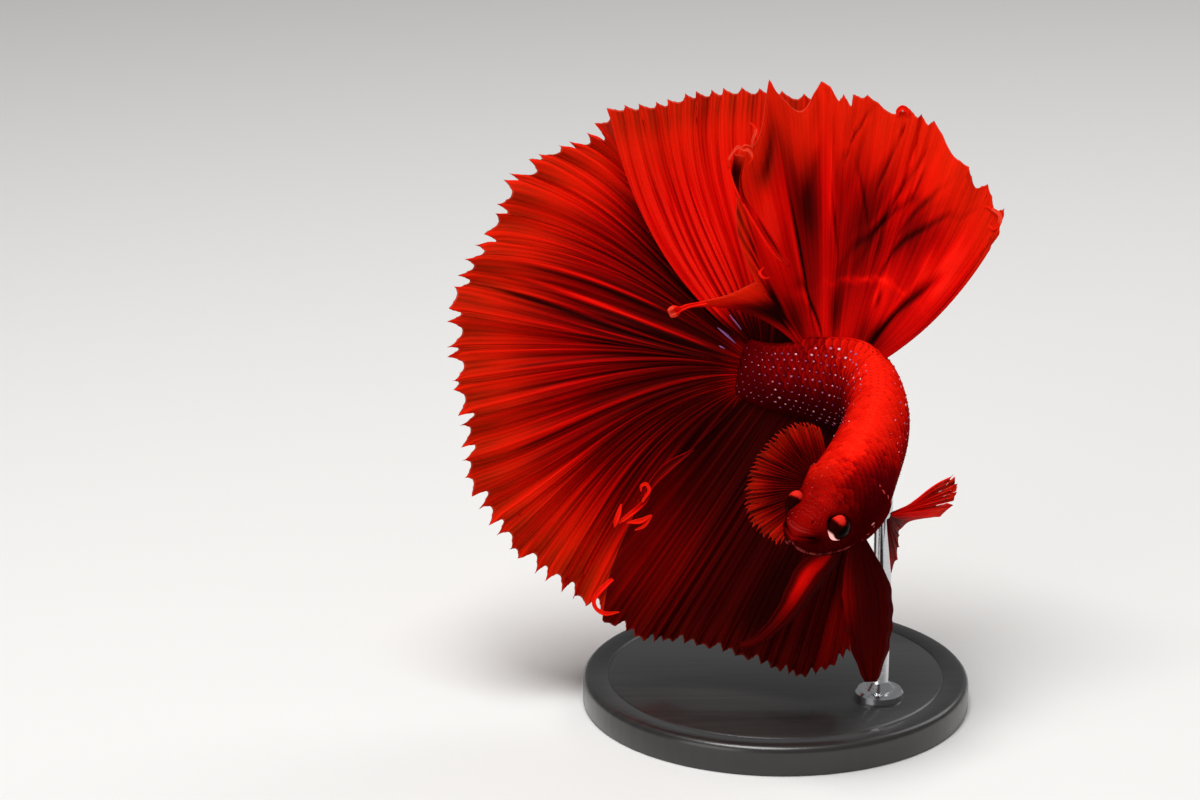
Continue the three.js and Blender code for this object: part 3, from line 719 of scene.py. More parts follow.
def thin_sheet(name, columns, middle, half, lay_place, dark):
    """A closed sheet round a middle surface: its front and back meet all round in a sharp edge."""
    rows = len(middle) // (columns + 1) - 1
    rises, runs = np.gradient(middle.reshape(rows + 1, columns + 1, 3), axis=(0, 1))
    normal = unit(np.cross(runs, rises) + 1e-9).reshape(-1, 3)
    off_edge = np.zeros((rows + 1, columns + 1))
    off_edge[1:-1, 1:-1] = 1
    half = half * off_edge.ravel()
    work = bmesh.new()
    for _ in range(2):
        bmesh.ops.create_grid(work, x_segments=columns, y_segments=rows, size=0.5)
    face_side = np.repeat([1, -1], len(middle))
    flat = np.array([v.co for v in work.verts])[:, :2] + 0.5
    own = np.rint(flat * [columns, rows]).astype(int) @ [1, columns + 1]
    move_to(work, in_row(middle[own] + normal[own] * (half[own] * face_side)[:, None]))
    # The front takes the upper half of the coat's unwrap, and the back the lower half.
    patch = np.stack([flat[:, 0], 0.5 + face_side * (0.01 + 0.48 * flat[:, 1])], 1)
    lay_maps(work, {"Lay": np.stack(lay_place, 1)[own], "OFBake": patch}, {"Shade": dark[own]})
    bmesh.ops.remove_doubles(work, verts=work.verts, dist=1e-7)
    return piece_from(work, name)


def heading(angle):
    """The way that an angle in degrees points, in the plane of the fins."""
    turned = np.radians(angle)
    return np.stack([np.cos(turned), np.sin(turned), 0 * turned], 1)


def fan_points(fin, root, across, out, number):
    """The middle of a fin's sheet, across from its first ray to its last and out from root to rim."""
    angle, length, stand, near, far = track(fin["rays"])(across).T
    part = number % 1
    rim = np.where(part < NOTCH_AT, 1 - part / NOTCH_AT, (part - NOTCH_AT) / (1 - NOTCH_AT)) ** fin["spike"]
    rim += 0.14 * swelling(part, 0.72, 0.07) + 0.1 * swelling(part, 0.2, 0.05)  # small points in the notch
    cut = np.append(fin["cuts"], 0)[number.astype(int)]
    reach = length - cut * (1 - rim)
    bow = BOW_SCALE * out * (1 - out) * (near * (1 - out) + far * out) + 0.25 * cut * rim * ease(out, 0.95, 1)
    swerve = 0.35 * wave(2.7 * across) + 0.25 * wave(5.3 * across + 0.2)
    pleat = fin["pleat_depth"] * out**1.2 * wave(fin["pleats"] * across + swerve)
    points = root(across) + heading(angle) * (reach * out)[:, None] + heading(angle + 90) * bow[:, None]
    curl = 0.3 * cut * np.sin(1.7 * np.round(number)) * rim * ease(out, 0.9, 1)
    points[:, 2] += stand * out + pleat + curl + fin["folds"](across, out)
    return points


def fan(name, fin, root, columns_each, rows):
    """A fin of rays that thicken the sheet and fork once on their way to the rim."""
    count = len(fin["tips"]) - 1
    place, out = spread(count * columns_each, rows)
    number = place * count
    across = np.interp(number, np.arange(count + 1), fin["tips"])
    rib = crest(number) ** 5 * (1 - 0.45 * out)
    fork = (1 - crest(number)) ** 5 * ease(out, 0.3, 0.6)
    half = fin["thickness"] / 2 + fin["rib"] * (rib + 0.6 * fork)
    half *= ease(out, 1, 0.95) * inside(across, 0.004)
    dark = np.clip(fin["shade"](across, out, number), -0.4, 1)
    middle = fan_points(fin, root, across, out, number)
    return thin_sheet(name, count * columns_each, middle, half, (place, out), dark)


def ripple(across, *waves):
    """Uneven stripes across a fin, from -1 to 1: each wave is a count, a share and a start."""
    total = 0
    for count, share, start in waves:
        total = total + share * wave(count * across + 0.35 * wave(2.3 * across + start) + start)
    return total


def caudal_folds(across, out):
    """The finer pleats, deeper towards the root where the rays crowd together."""
    fine = ripple(across, (31, 0.6, 0.1), (43, 0.4, 0.7))
    broad = 0.35 * ripple(across, (7, 1, 0.3)) * out * ease(across, 0.25, 0.32)
    return 0.3 * fine * ease(out, 0.05, 0.3) * (1.15 - 0.5 * out) + broad


def caudal_shade(across, out, number):
    """How dark the resin is: darker from the root on, partly its own colour and partly painted shade, painted
    shadow under the fold and in the grooves, bright at the rim.
    """
    # Behind the fold: painted shadow close behind its ridge and in a groove, over broad darker and brighter
    # bands.
    behind = 0.6 * ease(out, 1.05, 0.3) + 0.12 * swelling(across, 0.3, 0.05) * ease(out, 0.95, 0.6)
    behind += 0.22 * swelling(across, 0.262, 0.016) * ease(out, 1, 0.8) - 0.25 * ease(out, 0.12, 0.03)
    behind += 0.16 * swelling(across, 0.517, 0.011) * ease(out, 0.1, 0.3) * ease(out, 0.95, 0.8)
    behind += 0.1 * ease(across, 0.8, 0.95) + 0.07 * ease(out, 0.6, 0.8) * ease(across, 0.46, 0.55)
    behind += 0.14 * ease(out, 0.8, 0.93) - 0.07 * ease(across, 0.6, 0.7) * ease(out, 0.6, 0.4)
    behind += 0.2 * swelling(across, 0.48, 0.06) * swelling(out, 0.78, 0.16)
    behind += 0.13 * ease(across, 0.54, 0.6) * ease(across, 0.78, 0.72) * swelling(out, 0.78, 0.12)
    # The front panel: darker at the root, a painted highlight along the fold's ridge, painted shade in
    # creases near its first rays.
    before = 0.72 * ease(out, 0.25, 0.04) - 0.04 - 0.12 * swelling(across, 0.228, 0.012)
    before += 0.5 * swelling(across, 0.055, 0.022) * swelling(out, 0.42, 0.12)
    before += 0.35 * swelling(across, 0, 0.04)
    front = ease(across, 0.25, 0.236)
    dark = before * front + behind * (1 - front)
    # Painted shade in the valleys between the rays, strongest on the front panel.
    dark += 0.2 * (1 - crest(number)) ** 4 * (0.3 + 0.7 * front) * ease(out, 1, 0.8)
    dark += 0.12 * ripple(across, (27, 0.5, 0), (39, 0.35, 0.4), (61, 0.25, 0.8)) * (1.2 - out)
    # A few single rays stand out as thin lines of painted highlight with painted shade in a groove beside
    # them.
    for place, start, end, highlight in HIGHLIGHTED_RAYS:
        place = place + 0.006 * np.sin(3 * out + 40 * place)
        groove_shade = swelling(across, place + GROOVE_SHADE_OFF, GROOVE_SHADE_WIDTH)
        line = swelling(across, place, HIGHLIGHT_WIDTH) - 0.7 * groove_shade
        dark -= highlight * line * ease(out, start, start + 0.1) * ease(out, end, end - 0.15)
    return dark


CAUDAL = PLAIN_FIN | {
    # Each ray: its place across the fin, its angle, its length, how far its tip stands out, and how far
    # it bows to its left at a third and at two thirds of its length.
    "rays": [
        [0, 81.9, 33.9, -1, -1.8, -0.6], [0.08, 96.1, 34.5, 0.4, -0.6, 1.4], [0.14, 104.6, 34.5, 1.1, 0, 2],
        [0.18, 111.1, 34.6, 1.6, 0.8, 1.6], [0.215, 116.9, 35.7, 1.9, 1.8, 1.9],
        [0.238, 120.8, 36.9, 2.1, 2.5, 2.1], [0.272, 126.3, 36.3, -3.1, 0.4, -1.6],
        [0.34, 137.3, 38.9, -2.4, 0, -2.2], [0.385, 144.4, 40.3, -1.8, -0.6, -2.2],
        [0.43, 151.6, 38.8, -1.1, -1.1, -2.2], [0.48, 159.7, 40.2, -0.5, -1.4, -2],
        [0.52, 165.9, 40.6, -0.1, 0.4, -0.2], [0.58, 176.1, 40.2, 0.6, -0.9, -0.6],
        [0.65, 187.7, 39, 0.5, -1.8, -0.3], [0.73, 200.8, 40, 0.3, -2, 0.6],
        [0.82, 215.4, 38.6, -0.3, -3, -1], [0.91, 231, 36.4, -1.6, -2.4, -1],
        [1, 246.4, 34.8, -2.3, 1.8, 0.8],
    ],
    # Where the points of its rim are, across the fin, and how deep it is notched from each to the next.
    "tips": np.linspace(0, 1, 55) + 0.005 * np.sin(2.9 * np.arange(55)) * np.sin(pi * np.arange(55) / 54),
    "cuts": np.where(
        np.arange(54) < 12, 0.9, 1.6 + 0.5 * np.sin(2.4 * np.arange(54)) + 0.4 * np.sin(5.1 * np.arange(54))
    ),
    "spike": 2.4,
    "pleats": 15,
    "pleat_depth": 0.75,
    "folds": caudal_folds,
    "shade": caudal_shade,
}
# Where the rays start inside the stalk: the first ones on its ridge, ahead of its end.
TAIL_ROOTS = [
    [0, -1.2, 6.7, 2.3], [0.07, -4.6, 7.2, 1.6], [0.14, -5.9, 7.5, 1.3], [0.3, -6.4, 6.9, 1],
    [0.5, -6.9, 5.2, 0.4], [0.7, -7.1, 3.4, -0.2], [0.85, -7.3, 2, -0.7], [1, -7.6, 1.2, -1.1],
]
tail_fan = fan("tail_fan", CAUDAL, track(TAIL_ROOTS), 14, 60)


def fin_finish(name, teeth, depth=0, rim_glow=1, lined=1, clear=0):
    """Red fin resin: near black where painted shade lies in its deepest pleats, orange at the rim, with fine
    rays that branch twice.

    The teeth are the number of rays across the fin. The outer half of a clear fin has see-through membrane
    between them.
    """
    finish = Finish(name)
    across, out = finish.map_place("Lay")
    shade = finish.painted("Shade")
    strands = (finish.noise(across * (teeth * 3.2), out * 1.6) - 0.5) * min(lined, 1.5)
    hairs = (finish.noise(across * (teeth * 11), out * 3.5, 4, 1) - 0.5) * min(lined, 1.5)
    rays = (across * teeth).wave()
    branches = (across * (teeth * 2)).wave() * out.ramp(0.15, 0.45)
    twigs = (across * (teeth * 4)).wave() * out.ramp(0.45, 0.75)
    lines = ((rays - 0.5) * 0.12 + (branches - 0.4) * 0.14 + (twigs - 0.4) * 0.1) * lined
    light = 1 - shade + strands * 0.6 + hairs * 0.45 + lines
    dark_reds = [[0, 0.012, 0, 0.0002], [0.22, 0.055, 0.0001, 0.0003], [0.45, 0.2, 0.0003, 0.0004]]
    bright_reds = [[0.68, 0.52, 0.0012, 0.0008], [0.88, 0.84, 0.004, 0.0015], [1, 0.95, 0.01, 0.004]]
    colour = finish.colours(light - 0.1 - depth, *dark_reds, *bright_reds)
    to_rim = out.ramp(0.6, 1) * light.ramp(0, 0.8) * (0.6 * rim_glow)
    orange = finish.blend(to_rim, colour, (0.86, 0.024, 0.003))
    between = (1 - rays * 0.6 - twigs * 0.4) * out.ramp(0.84, 0.97) * (0.75 * min(lined, 1))
    olive = finish.blend(between, orange, (0.12, 0.001 + 0.012 * rim_glow, 0.0015))
    line = finish.blend(out.ramp(0.992, 0.998) * (0.15 + 0.45 * rim_glow), olive, (0.92, 0.1, 0.05))
    fibres = strands * 0.9 + hairs * 0.5 + (branches * 0.3 + twigs * 0.3) * lined
    surface = {"Base Color": line, "Roughness": 0.55 - hairs * 0.3, "Normal": finish.bump(fibres, 0.00022)}
    surface |= {"Specular IOR Level": 0.06, "Specular Tint": (1, 0.2, 0.12, 1)}
    if clear:
        gaps = (1 - (twigs + branches) * 0.5) * out.ramp(0.3, 0.9)
        return finish.done(surface | {"Alpha": 1 - gaps * clear})
    glow = finish.node("BsdfTranslucent", {}, {"Color": (0.95, 0.02, 0.002, 1)})
    through = out.ramp(0.1, 1, 0.08, 0.36) * light.ramp(0.2, 0.8, 0.2, 1)
    return finish.done(finish.node("MixShader", {}, {0: through, 1: finish.surface(surface), 2: glow}))


dress(tail_fan, fin_finish("tail_fin_resin", 54), "fin", "caudal_fin")

# ---- Back fin ----
# A broad fan of few rays, pressed in wide soft folds. Its rear edge is rolled: a furled ray stands up
# in front of the tail fin, and the last ray lies back over it as a horn with a curled tip.
FIN_SUNK = 1  # how far the rays start inside the body
# Soft hollows in the fin, with painted shade in them and painted light on ridges of negative depth: place
# across and out, half width, half length, drift across on the way out, depth.
HOLLOWS = [
    [0.775, 0.68, 0.03, 0.18, -0.2, 0.36], [0.37, 0.66, 0.016, 0.26, -0.39, 0.3],
    [0.4, 0.55, 0.02, 0.16, -0.9, 0.26], [0.155, 0.3, 0.013, 0.22, -0.22, 0.5],
    [0.21, 0.1, 0.03, 0.12, -0.3, 0.4], [0.832, 0.38, 0.008, 0.2, 0.03, 0.75],
    [0.79, 0.13, 0.012, 0.1, 0.5, 0.6], [0.872, 0.835, 0.02, 0.075, 0, 0.62],
    [0.5, 0.42, 0.16, 0.24, -0.1, 0.2], [0.63, 0.62, 0.03, 0.2, -0.15, 0.22],
    [0.56, 0.76, 0.02, 0.12, -0.2, 0.2], [0.46, 0.78, 0.012, 0.1, -0.3, 0.2],
    [0.69, 0.86, 0.02, 0.1, 0.05, 0.18], [0.29, 0.45, 0.014, 0.2, -0.3, 0.16],
    [0.6, 0.2, 0.05, 0.14, 0, 0.16], [0.459, 0.745, 0.007, 0.07, -0.2, 0.3],
    [0.284, 0.75, 0.006, 0.09, -0.08, 0.32], [0.58, 0.86, 0.009, 0.09, -0.52, 0.34],
    [0.247, 0.7, 0.007, 0.16, -0.27, 0.34], [0.224, 0.61, 0.009, 0.2, -0.41, 0.3],
    [0.427, 0.91, 0.007, 0.02, 0, 0.5], [0.29, 0.23, 0.015, 0.035, 0, 0.5],
    [0.34, 0.88, 0.01, 0.05, 0.3, 0.24], [0.66, 0.5, 0.012, 0.12, 0.25, 0.24],
    [0.52, 0.62, 0.01, 0.1, 0.4, 0.22], [0.8, 0.4, 0.07, 0.36, 0, 0.3], [0.77, 0.54, 0.03, 0.12, 0, 0.25],
    [0.83, 0.74, 0.03, 0.14, 0, 0.34], [0.75, 0.8, 0.015, 0.06, 0, -0.3],
    [0.49, 0.58, 0.08, 0.2, -0.1, 0.26], [0.24, 0.6, 0.06, 0.16, -0.2, 0.3],
    [0.1, 0.55, 0.03, 0.16, 0, -0.4], [0.16, 0.5, 0.02, 0.09, 0, -0.3], [0.883, 0.6, 0.012, 0.12, 0, -0.35],
    [0.395, 0.46, 0.02, 0.08, 0, 0.24], [0.62, 0.12, 0.06, 0.1, 0, 0.3], [0.66, 0.7, 0.02, 0.1, 0, 0.28],
    [0.9, 0.15, 0.03, 0.12, 0, 0.4], [0.29, 0.26, 0.04, 0.08, 0, -0.25], [0.25, 0.05, 0.16, 0.1, 0, 0.34],
]


def hollows(across, out):
    """Soft folds that run slantwise over the rays; the same number sets their depth and their painted shade.
    """
    total = 0
    for place, far, wide, long, drift, deep in HOLLOWS:
        off = (across - place - drift * (out - far)) / wide
        fold = swelling(off, 0, 1) - 0.3 * swelling(off, 2.2, 0.8)
        total = total + deep * fold * swelling(out, far, long)
    return total


def dorsal_folds(across, out):
    """Soft slanting folds, and a rim that waves."""
    fine = 0.12 * ripple(across, (13, 0.6, 0.2), (19, 0.4, 0.6)) * ease(out, 0.05, 0.5)
    return fine - 1.1 * hollows(across, out) + 0.35 * wave(4.3 * (across + 0.1 * out)) * out


def dorsal_shade(across, out, number):
    """How dark the resin is, mostly painted shade: in the hollows, near the root, in the horn, behind the
    furled ray and in the creases beside it. A pale fold crosses the rays.
    """
    dark = 0.12 + 0.14 * ease(out, 0.9, 0.4) + hollows(across, out)
    dark -= 0.3 * swelling(out, 0.36 - 0.155 * across, 0.012) * swelling(across, 0.42, 0.24)
    # Painted shade inside the horn.
    dark += 0.4 * swelling(across, 0.97, 0.012) * ease(out, 0.6, 0.3)
    dark += 0.8 * swelling(across, 0.975, 0.024) * swelling(out, 0.46, 0.27)
    dark *= 1 - 0.8 * ease(out, 0.86, 0.99)
    # Painted shadow behind the furled ray, and painted shade in the creases of the lobe beside it, between
    # thin light lines.
    dark += 0.95 * swelling(across - 0.06 * (out - 0.45), 0.938, 0.017) * swelling(out, 0.5, 0.19)
    crease_shade = 0.7 - 0.95 * crest((across - 0.905) / 0.0095) ** 2
    dark += crease_shade * swelling(across, 0.922, 0.018) * ease(out, 0.6, 0.75)
    return dark + 0.04 * ripple(across, (23, 0.5, 0.3), (37, 0.3, 0.1), (53, 0.2, 0.6)) * (1.2 - out)


def body_root(start, end, turn):
    """Rays start on the ridge or the keel of the body, between two distances from the snout."""

    def root(across):
        distance = start + (end - start) * across
        place, _, back, *_ = station(distance)
        up = np.sin(turn) * (girth(distance, turn)[1] - FIN_SUNK)
        return place + back * up[:, None]

    return root


DORSAL = PLAIN_FIN | {
    "rays": [
        [0, 46, 22, 0.5, -0.9, -0.8], [0.06, 48.6, 26, 2, -1, -0.8], [0.16, 62, 27.6, 2.5, -0.6, -0.4],
        [0.3, 72, 31.6, 1, 0, 0], [0.42, 76, 32.4, 0.5, 0, 0], [0.54, 83, 33.4, 2, 0, 0],
        [0.64, 87, 33.4, 1.5, 0, 0], [0.73, 90, 35.2, 0.5, 0, 0], [0.79, 95, 32.4, 1.5, 0, 0],
        [0.835, 98.6, 34.4, 2.3, 0.1, 0.2], [0.85, 99.8, 35.6, 2.5, 0.1, 0.2],
        [0.858, 101, 33.4, 2.7, 0.1, 0.3], [0.87, 103, 30, 3.1, 0.2, 0.4],
        [0.885, 106, 27.6, 3.8, 0.4, 0.6], [0.9, 110, 27.4, 4.6, 0.5, 0.9],
        [0.907, 113.4, 24.8, 4.5, 0.4, 0.7], [0.915, 116, 21.8, 4.3, 0.3, 0.4],
        [0.925, 119.5, 19.2, 4, 0.2, 0.2], [0.932, 122.4, 16.8, 3.8, 0, 0], [0.94, 125, 13.8, 3.7, 0, 0],
        [0.95, 127, 11.2, 3.6, 0, 0], [0.962, 130, 10.9, 3.7, -0.5, -0.4],
        [0.975, 145, 12.1, 3.9, -0.9, -0.8], [0.988, 157, 15.1, 4.2, -1.4, -1.2],
        [1, 165, 18.1, 4.5, -1.6, -1.5],
    ],
    "tips": [0, 0.03, 0.06, 0.115, 0.16, 0.3, 0.36, 0.42, 0.55, 0.6, 0.635, 0.73, 0.85, 0.9, 0.95, 1],
    "cuts": [1.3, 2.2, 1.9, 1.5, 1.1, 1.1, 0.8, 1.6, 0.5, 1.5, 1.7, 1.2, 0, 0, 0],
    "pleats": 5,
    "pleat_depth": 0.3,
    "folds": dorsal_folds,
    "shade": dorsal_shade,
}
back_fan = fan("back_fan", DORSAL, body_root(30.5, 42.5, pi / 2), 40, 60)
dress(back_fan, fin_finish("back_fin_resin", 45, -0.06, 1, 0.35), "fin", "dorsal_fin")


def scroll(name, rows, columns=24, steps=60):
    """A strip rolled about its length.

    Each place on it: share of its length, middle, half width, how dark it is inside as painted shade (below 0
    the strip is pale instead, with painted light), roll and turn. The roll is the angle from its middle to
    its edge, 60 unless the row says another, and the turn points the hollow away from the viewer.
    """
    line = track([row + [60, 0][len(row) - 6 :] for row in rows])
    side_share, out = spread(columns, steps, 1)
    x, y, z, half_width, depth, roll, turn = line(out).T
    along = unit((line(np.minimum(out + 0.02, 1)) - line(np.maximum(out - 0.02, 0)))[:, :3])
    side = unit(np.cross(along, [0, 0, 1]))
    face = np.cross(side, along)
    roll, turn = np.radians(roll), np.radians(turn)
    angle = roll * (2 * side_share - 1)
    flat, deep = half_width * np.sin(angle) / roll, half_width * (1 - np.cos(angle)) / roll
    sideways = side * np.cos(turn)[:, None] + face * np.sin(turn)[:, None]
    inwards = face * np.cos(turn)[:, None] - side * np.sin(turn)[:, None]
    middle = np.stack([x, y, z], 1) + sideways * flat[:, None] + inwards * deep[:, None]
    half = np.minimum(0.1, half_width * 0.3) * inside(side_share, 0.12) * inside(out, 0.05)
    # Painted shade inside the roll, strongest along its middle; a negative value gives painted light.
    dark = depth * (1 - 0.5 * (2 * side_share - 1) ** 4)
    to_rim = np.maximum(0.1 + 0.9 * out**2, -2.5 * depth)
    return thin_sheet(name, columns, middle, half, (side_share * 0.07, to_rim), np.clip(dark, -0.4, 1))


SCROLLS = {
    "furled_ray": [
        [0, -1.9, 17.6, 8.6, 0.35, 0.3, 70, 180], [0.25, -4, 20.3, 10, 0.6, 0.3, 90, 180],
        [0.5, -6.4, 23.8, 10.9, 0.8, 0.3, 100, 170], [0.72, -8.2, 27.2, 11.1, 0.95, 0.7, 110, 60],
        [0.88, -8.8, 29.8, 10.9, 1.2, 0.95, 110, 10], [1, -8.4, 31.9, 11, 1.25, 0.5, 100, 10],
    ],
    "horn_tip": [
        [0, -12.6, 12.8, 8.3, 0.3, 0.1, 90], [0.5, -15.3, 12.25, 8.5, 0.42, 0.1, 110],
        [0.75, -16.4, 11.8, 8.6, 0.8, -0.2, 130], [0.88, -17, 11.6, 8.7, 1.9, -0.4, 160],
        [1, -17.7, 11.3, 8.7, 1.5, -0.4, 160],
    ],
    # A thin cord of painted highlight along the left edge of the furled ray.
    "furl_highlight": [
        [0, -9.9, 30.3, 11.6, 0.1, -0.4], [0.25, -9, 27.4, 11.5, 0.16, -0.3],
        [0.45, -7.4, 24.4, 11.4, 0.16, -0.3], [0.62, -5.9, 21.9, 11, 0.16, -0.2],
        [0.8, -4.45, 19.6, 10.3, 0.14, -0.2], [1, -2.9, 18, 9.4, 0.08, 0],
    ],
    # A thin strip of painted shade in the groove on the right of the furled ray.
    "furl_shadow_strip": [
        [0, -6.3, 24.1, 11.2, 0.06, 0.5, 40], [0.4, -5.3, 22.3, 11, 0.18, 0.7, 40],
        [0.8, -3.6, 19.7, 10.2, 0.14, 0.7, 40], [1, -2.5, 18, 9.4, 0.06, 0.5, 40],
    ],
    "furl_lip": [
        [0, -10, 30.2, 11.7, 0.1, -0.3], [0.15, -9.9, 31.3, 11.9, 0.2, -0.4],
        [0.3, -9.4, 32.2, 12, 0.18, -0.4], [0.45, -8.7, 32.9, 12.1, 0.26, -0.4],
        [0.58, -8.1, 32.5, 12, 0.16, -0.4], [0.7, -7.4, 32.5, 12, 0.24, -0.4],
        [0.85, -6.9, 31.6, 11.9, 0.18, -0.4], [1, -7.4, 30.6, 11.6, 0.1, -0.3],
    ],
    "rim_curl": [
        [0, -6.8, 32.8, 8.4, 0.08, -0.4], [0.35, -6.7, 34, 8.8, 0.2, -0.4, 70],
        [0.7, -6.3, 35.4, 8.9, 0.22, -0.4, 70], [1, -7, 36.4, 8.7, 0.08, -0.3],
    ],
    "horn_curl": [
        [0, -5.2, 17.4, 8.3, 0.06, 0], [0.4, -5.8, 16.6, 8.7, 0.2, -0.1, 80],
        [0.7, -5.2, 16, 8.8, 0.18, 0, 80], [1, -4.4, 16.1, 8.5, 0.06, 0.3],
    ],
    "rim_knob": [
        [0, 12.4, 37, 8.15, 0.1, -0.2], [0.3, 12.4, 37.9, 8.3, 0.34, -0.3],
        [0.55, 13, 38.3, 8.4, 0.4, -0.3], [0.8, 13.6, 37.8, 8.3, 0.34, -0.3],
        [1, 13.6, 37, 8.15, 0.1, -0.2],
    ],
    "front_curl": [
        [0, 23.4, 25.3, 12.3, 0.1, -0.3], [0.2, 24.3, 24.8, 12.5, 0.24, -0.4],
        [0.4, 25.2, 24.1, 12.7, 0.3, -0.4], [0.6, 25.2, 23, 12.7, 0.3, -0.4],
        [0.8, 24.4, 22.3, 12.5, 0.26, -0.3], [1, 23.8, 22.9, 12.3, 0.1, -0.3],
    ],
}
curl_resin = fin_finish("curled_fin_resin", 45, -0.15, 1, 0)
for scroll_name, rows in SCROLLS.items():
    dress(scroll(scroll_name, rows), curl_resin, "fin")

# Three slivers of pearl lacquer lie along the first rays of the tail fin, where they leave the stalk.
ROOT_GLEAMS = [
    [[0, -11.1, 9.6, 2.4, 0.05, 0, 40], [0.5, -9.9, 8.6, 2.5, 0.17, 0, 40], [1, -8.7, 7.5, 2.4, 0.05, 0, 40]],
    [[0, -9.5, 11.3, 2.6, 0.05, 0, 40], [0.5, -8.7, 10.3, 2.7, 0.1, 0, 40], [1, -7.9, 9.3, 2.6, 0.05, 0, 40]],
    [[0, -10.9, 7.2, 2.3, 0.05, 0, 40], [0.5, -10.5, 7, 2.4, 0.12, 0, 40], [1, -10.1, 6.8, 2.3, 0.05, 0, 40]],
]
for number, rows in enumerate(ROOT_GLEAMS):
    dress(scroll("root_gleam_" + str(number + 1), rows, 10, 20), pearl, "fin")

# ---- Belly fin ----
# A long hanging fan under the body, in a darker wine-red resin that also carries painted shade. Its last rays
# trail over the tail fin as a narrow strip with curled tips.


def anal_folds(across, out):
    return 0.14 * ripple(across, (17, 0.6, 0.5), (29, 0.4, 0.2)) * ease(out, 0.05, 0.4)


def anal_shade(across, out, number):
    """How dark the resin is: wine red all over, partly its own colour and partly painted shade, brighter
    towards the rim and on the rear strip, with a painted shadow behind the right ventral blade.
    """
    rear = 0.26 * ease(across, 0.6, 0.9) * ease(out, 0.3, 0.7) * (1 - 0.3 * ease(out, 0.8, 1))
    between_blades = 0.3 * ease(across, 0.2, 0.12) * ease(out, 0.5, 0.8)
    shadow = 0.35 * swelling(across, 0.435, 0.05) * swelling(out, 0.76, 0.2)
    stripes = 0.05 * ripple(across, (9, 0.5, 0.2), (17, 0.3, 0.9), (41, 0.2, 0.4))
    return 0.76 + 0.06 * ease(out, 0.7, 1) - rear - between_blades + shadow + stripes


ANAL = PLAIN_FIN | {
    "rays": [
        [0, 264, 25.2, -5, 0, 0], [0.1, 259, 29, -3.5, 0, 0], [0.2, 254, 32, -1.5, 0, 0],
        [0.34, 249, 33.6, 0, 0, 0], [0.5, 242, 34.8, 0.5, 0, 0], [0.64, 238, 36, 1, 0, 0],
        [0.78, 236.5, 37.2, 2, 0, 0], [0.87, 235, 36.4, 3, 0, 0], [0.93, 233, 35.6, 4.5, 0, 0],
        [1, 224, 20.2, 5.5, 0, 0],
    ],
    "tips": np.linspace(0, 1, 27),
    "cuts": 0.8 + 0.4 * np.sin(2.1 * np.arange(26)),
    "pleats": 10,
    "pleat_depth": 0.3,
    "folds": anal_folds,
    "shade": anal_shade,
}
belly_fan = fan("belly_fan", ANAL, body_root(24.5, 49, -pi / 2), 20, 60)
dress(belly_fan, fin_finish("belly_fin_resin", 26, 0.04, 0.1, 0.4), "fin", "anal_fin")
BELLY_SCROLLS = {
    "belly_strip": [
        [0, -14.2, -6.5, 3.2, 0.08, 0.85, 50], [0.25, -17.8, -8.9, 3.9, 0.75, 0.8, 70],
        [0.5, -20.1, -11.5, 4.4, 0.6, 0.7, 90], [0.7, -20.9, -13.5, 4.7, 0.45, 0.5, 90],
        [0.88, -23.1, -15.4, 4.9, 0.4, 0, 90], [1, -24.6, -16.5, 5, 0.15, -0.2, 90],
    ],
    "belly_loop": [
        [0, -21.3, -12.1, 5.1, 0.1, -0.2], [0.25, -21.2, -11.3, 5.2, 0.24, -0.3],
        [0.45, -20.6, -11.1, 5.2, 0.26, -0.3], [0.65, -20.2, -11.8, 5.2, 0.26, -0.2],
        [1, -21.2, -13.5, 5, 0.2, 0],
    ],
    "belly_spike": [
        [0, -23.9, -13.7, 5, 0.1, -0.3], [0.4, -24.2, -14.8, 5.2, 0.34, -0.3],
        [0.8, -24.6, -16.1, 5.3, 0.34, -0.3], [1, -24.8, -16.8, 5.2, 0.1, -0.3],
    ],
    "belly_barb": [
        [0, -23.2, -16.2, 5.1, 0.1, -0.3], [0.45, -21.2, -15.9, 5.3, 0.4, -0.3],
        [0.7, -20, -15.5, 5.3, 0.14, -0.3], [0.76, -20.5, -16.2, 5.2, 0.24, -0.3],
        [1, -22.1, -17.2, 5.1, 0.1, -0.2],
    ],
    "belly_hook": [
        [0, -25, -23.6, 4.2, 0.3, 0.2], [0.25, -26.7, -25.2, 4.6, 0.42, -0.2, 70],
        [0.45, -27.5, -26.4, 4.8, 0.34, -0.3, 70], [0.6, -27.3, -27.4, 4.8, 0.3, -0.3, 70],
        [0.8, -26, -28.2, 4.7, 0.34, -0.3, 70], [1, -24.1, -28, 4.5, 0.12, -0.2],
    ],
}
for scroll_name, rows in BELLY_SCROLLS.items():
    dress(scroll(scroll_name, rows), curl_resin, "fin")


# ---- Breast fins ----
# Small thin fans behind the gill covers, with rays as fine as hairs whose tips run free. They are cast in
# partly clear resin, and each is let into the flesh at one joint.
def right_shade(across, out, number):
    """Maroon in the middle, with brighter rays outside, above and below."""
    outer = 0.5 + 0.5 * ripple(across, (7, 0.5, 0.3), (17, 0.5, 0.1), (29, 0.4, 0.5))
    ends = 0.12 * ease(across, 0.75, 0.95) + 0.14 * ease(across, 0.25, 0.05)
    stripes = 0.1 * ripple(across, (11, 0.5, 0.2), (23, 0.5, 0.7)) * ease(out, 0.3, 0.6)
    return 0.7 - 0.3 * outer * ease(out, 0.5, 0.95) - ends + stripes


def left_shade(across, out, number):
    """Bright orange-red, with dark gaps between four lobes, and painted shade on the lower flap."""
    gaps = swelling(across, 0.1, 0.012) + swelling(across, 0.2, 0.016) + swelling(across, 0.33, 0.014)
    return 0.1 + 0.55 * gaps * ease(out, 0.3, 0.7) + 0.5 * ease(across, 0.56, 0.62)


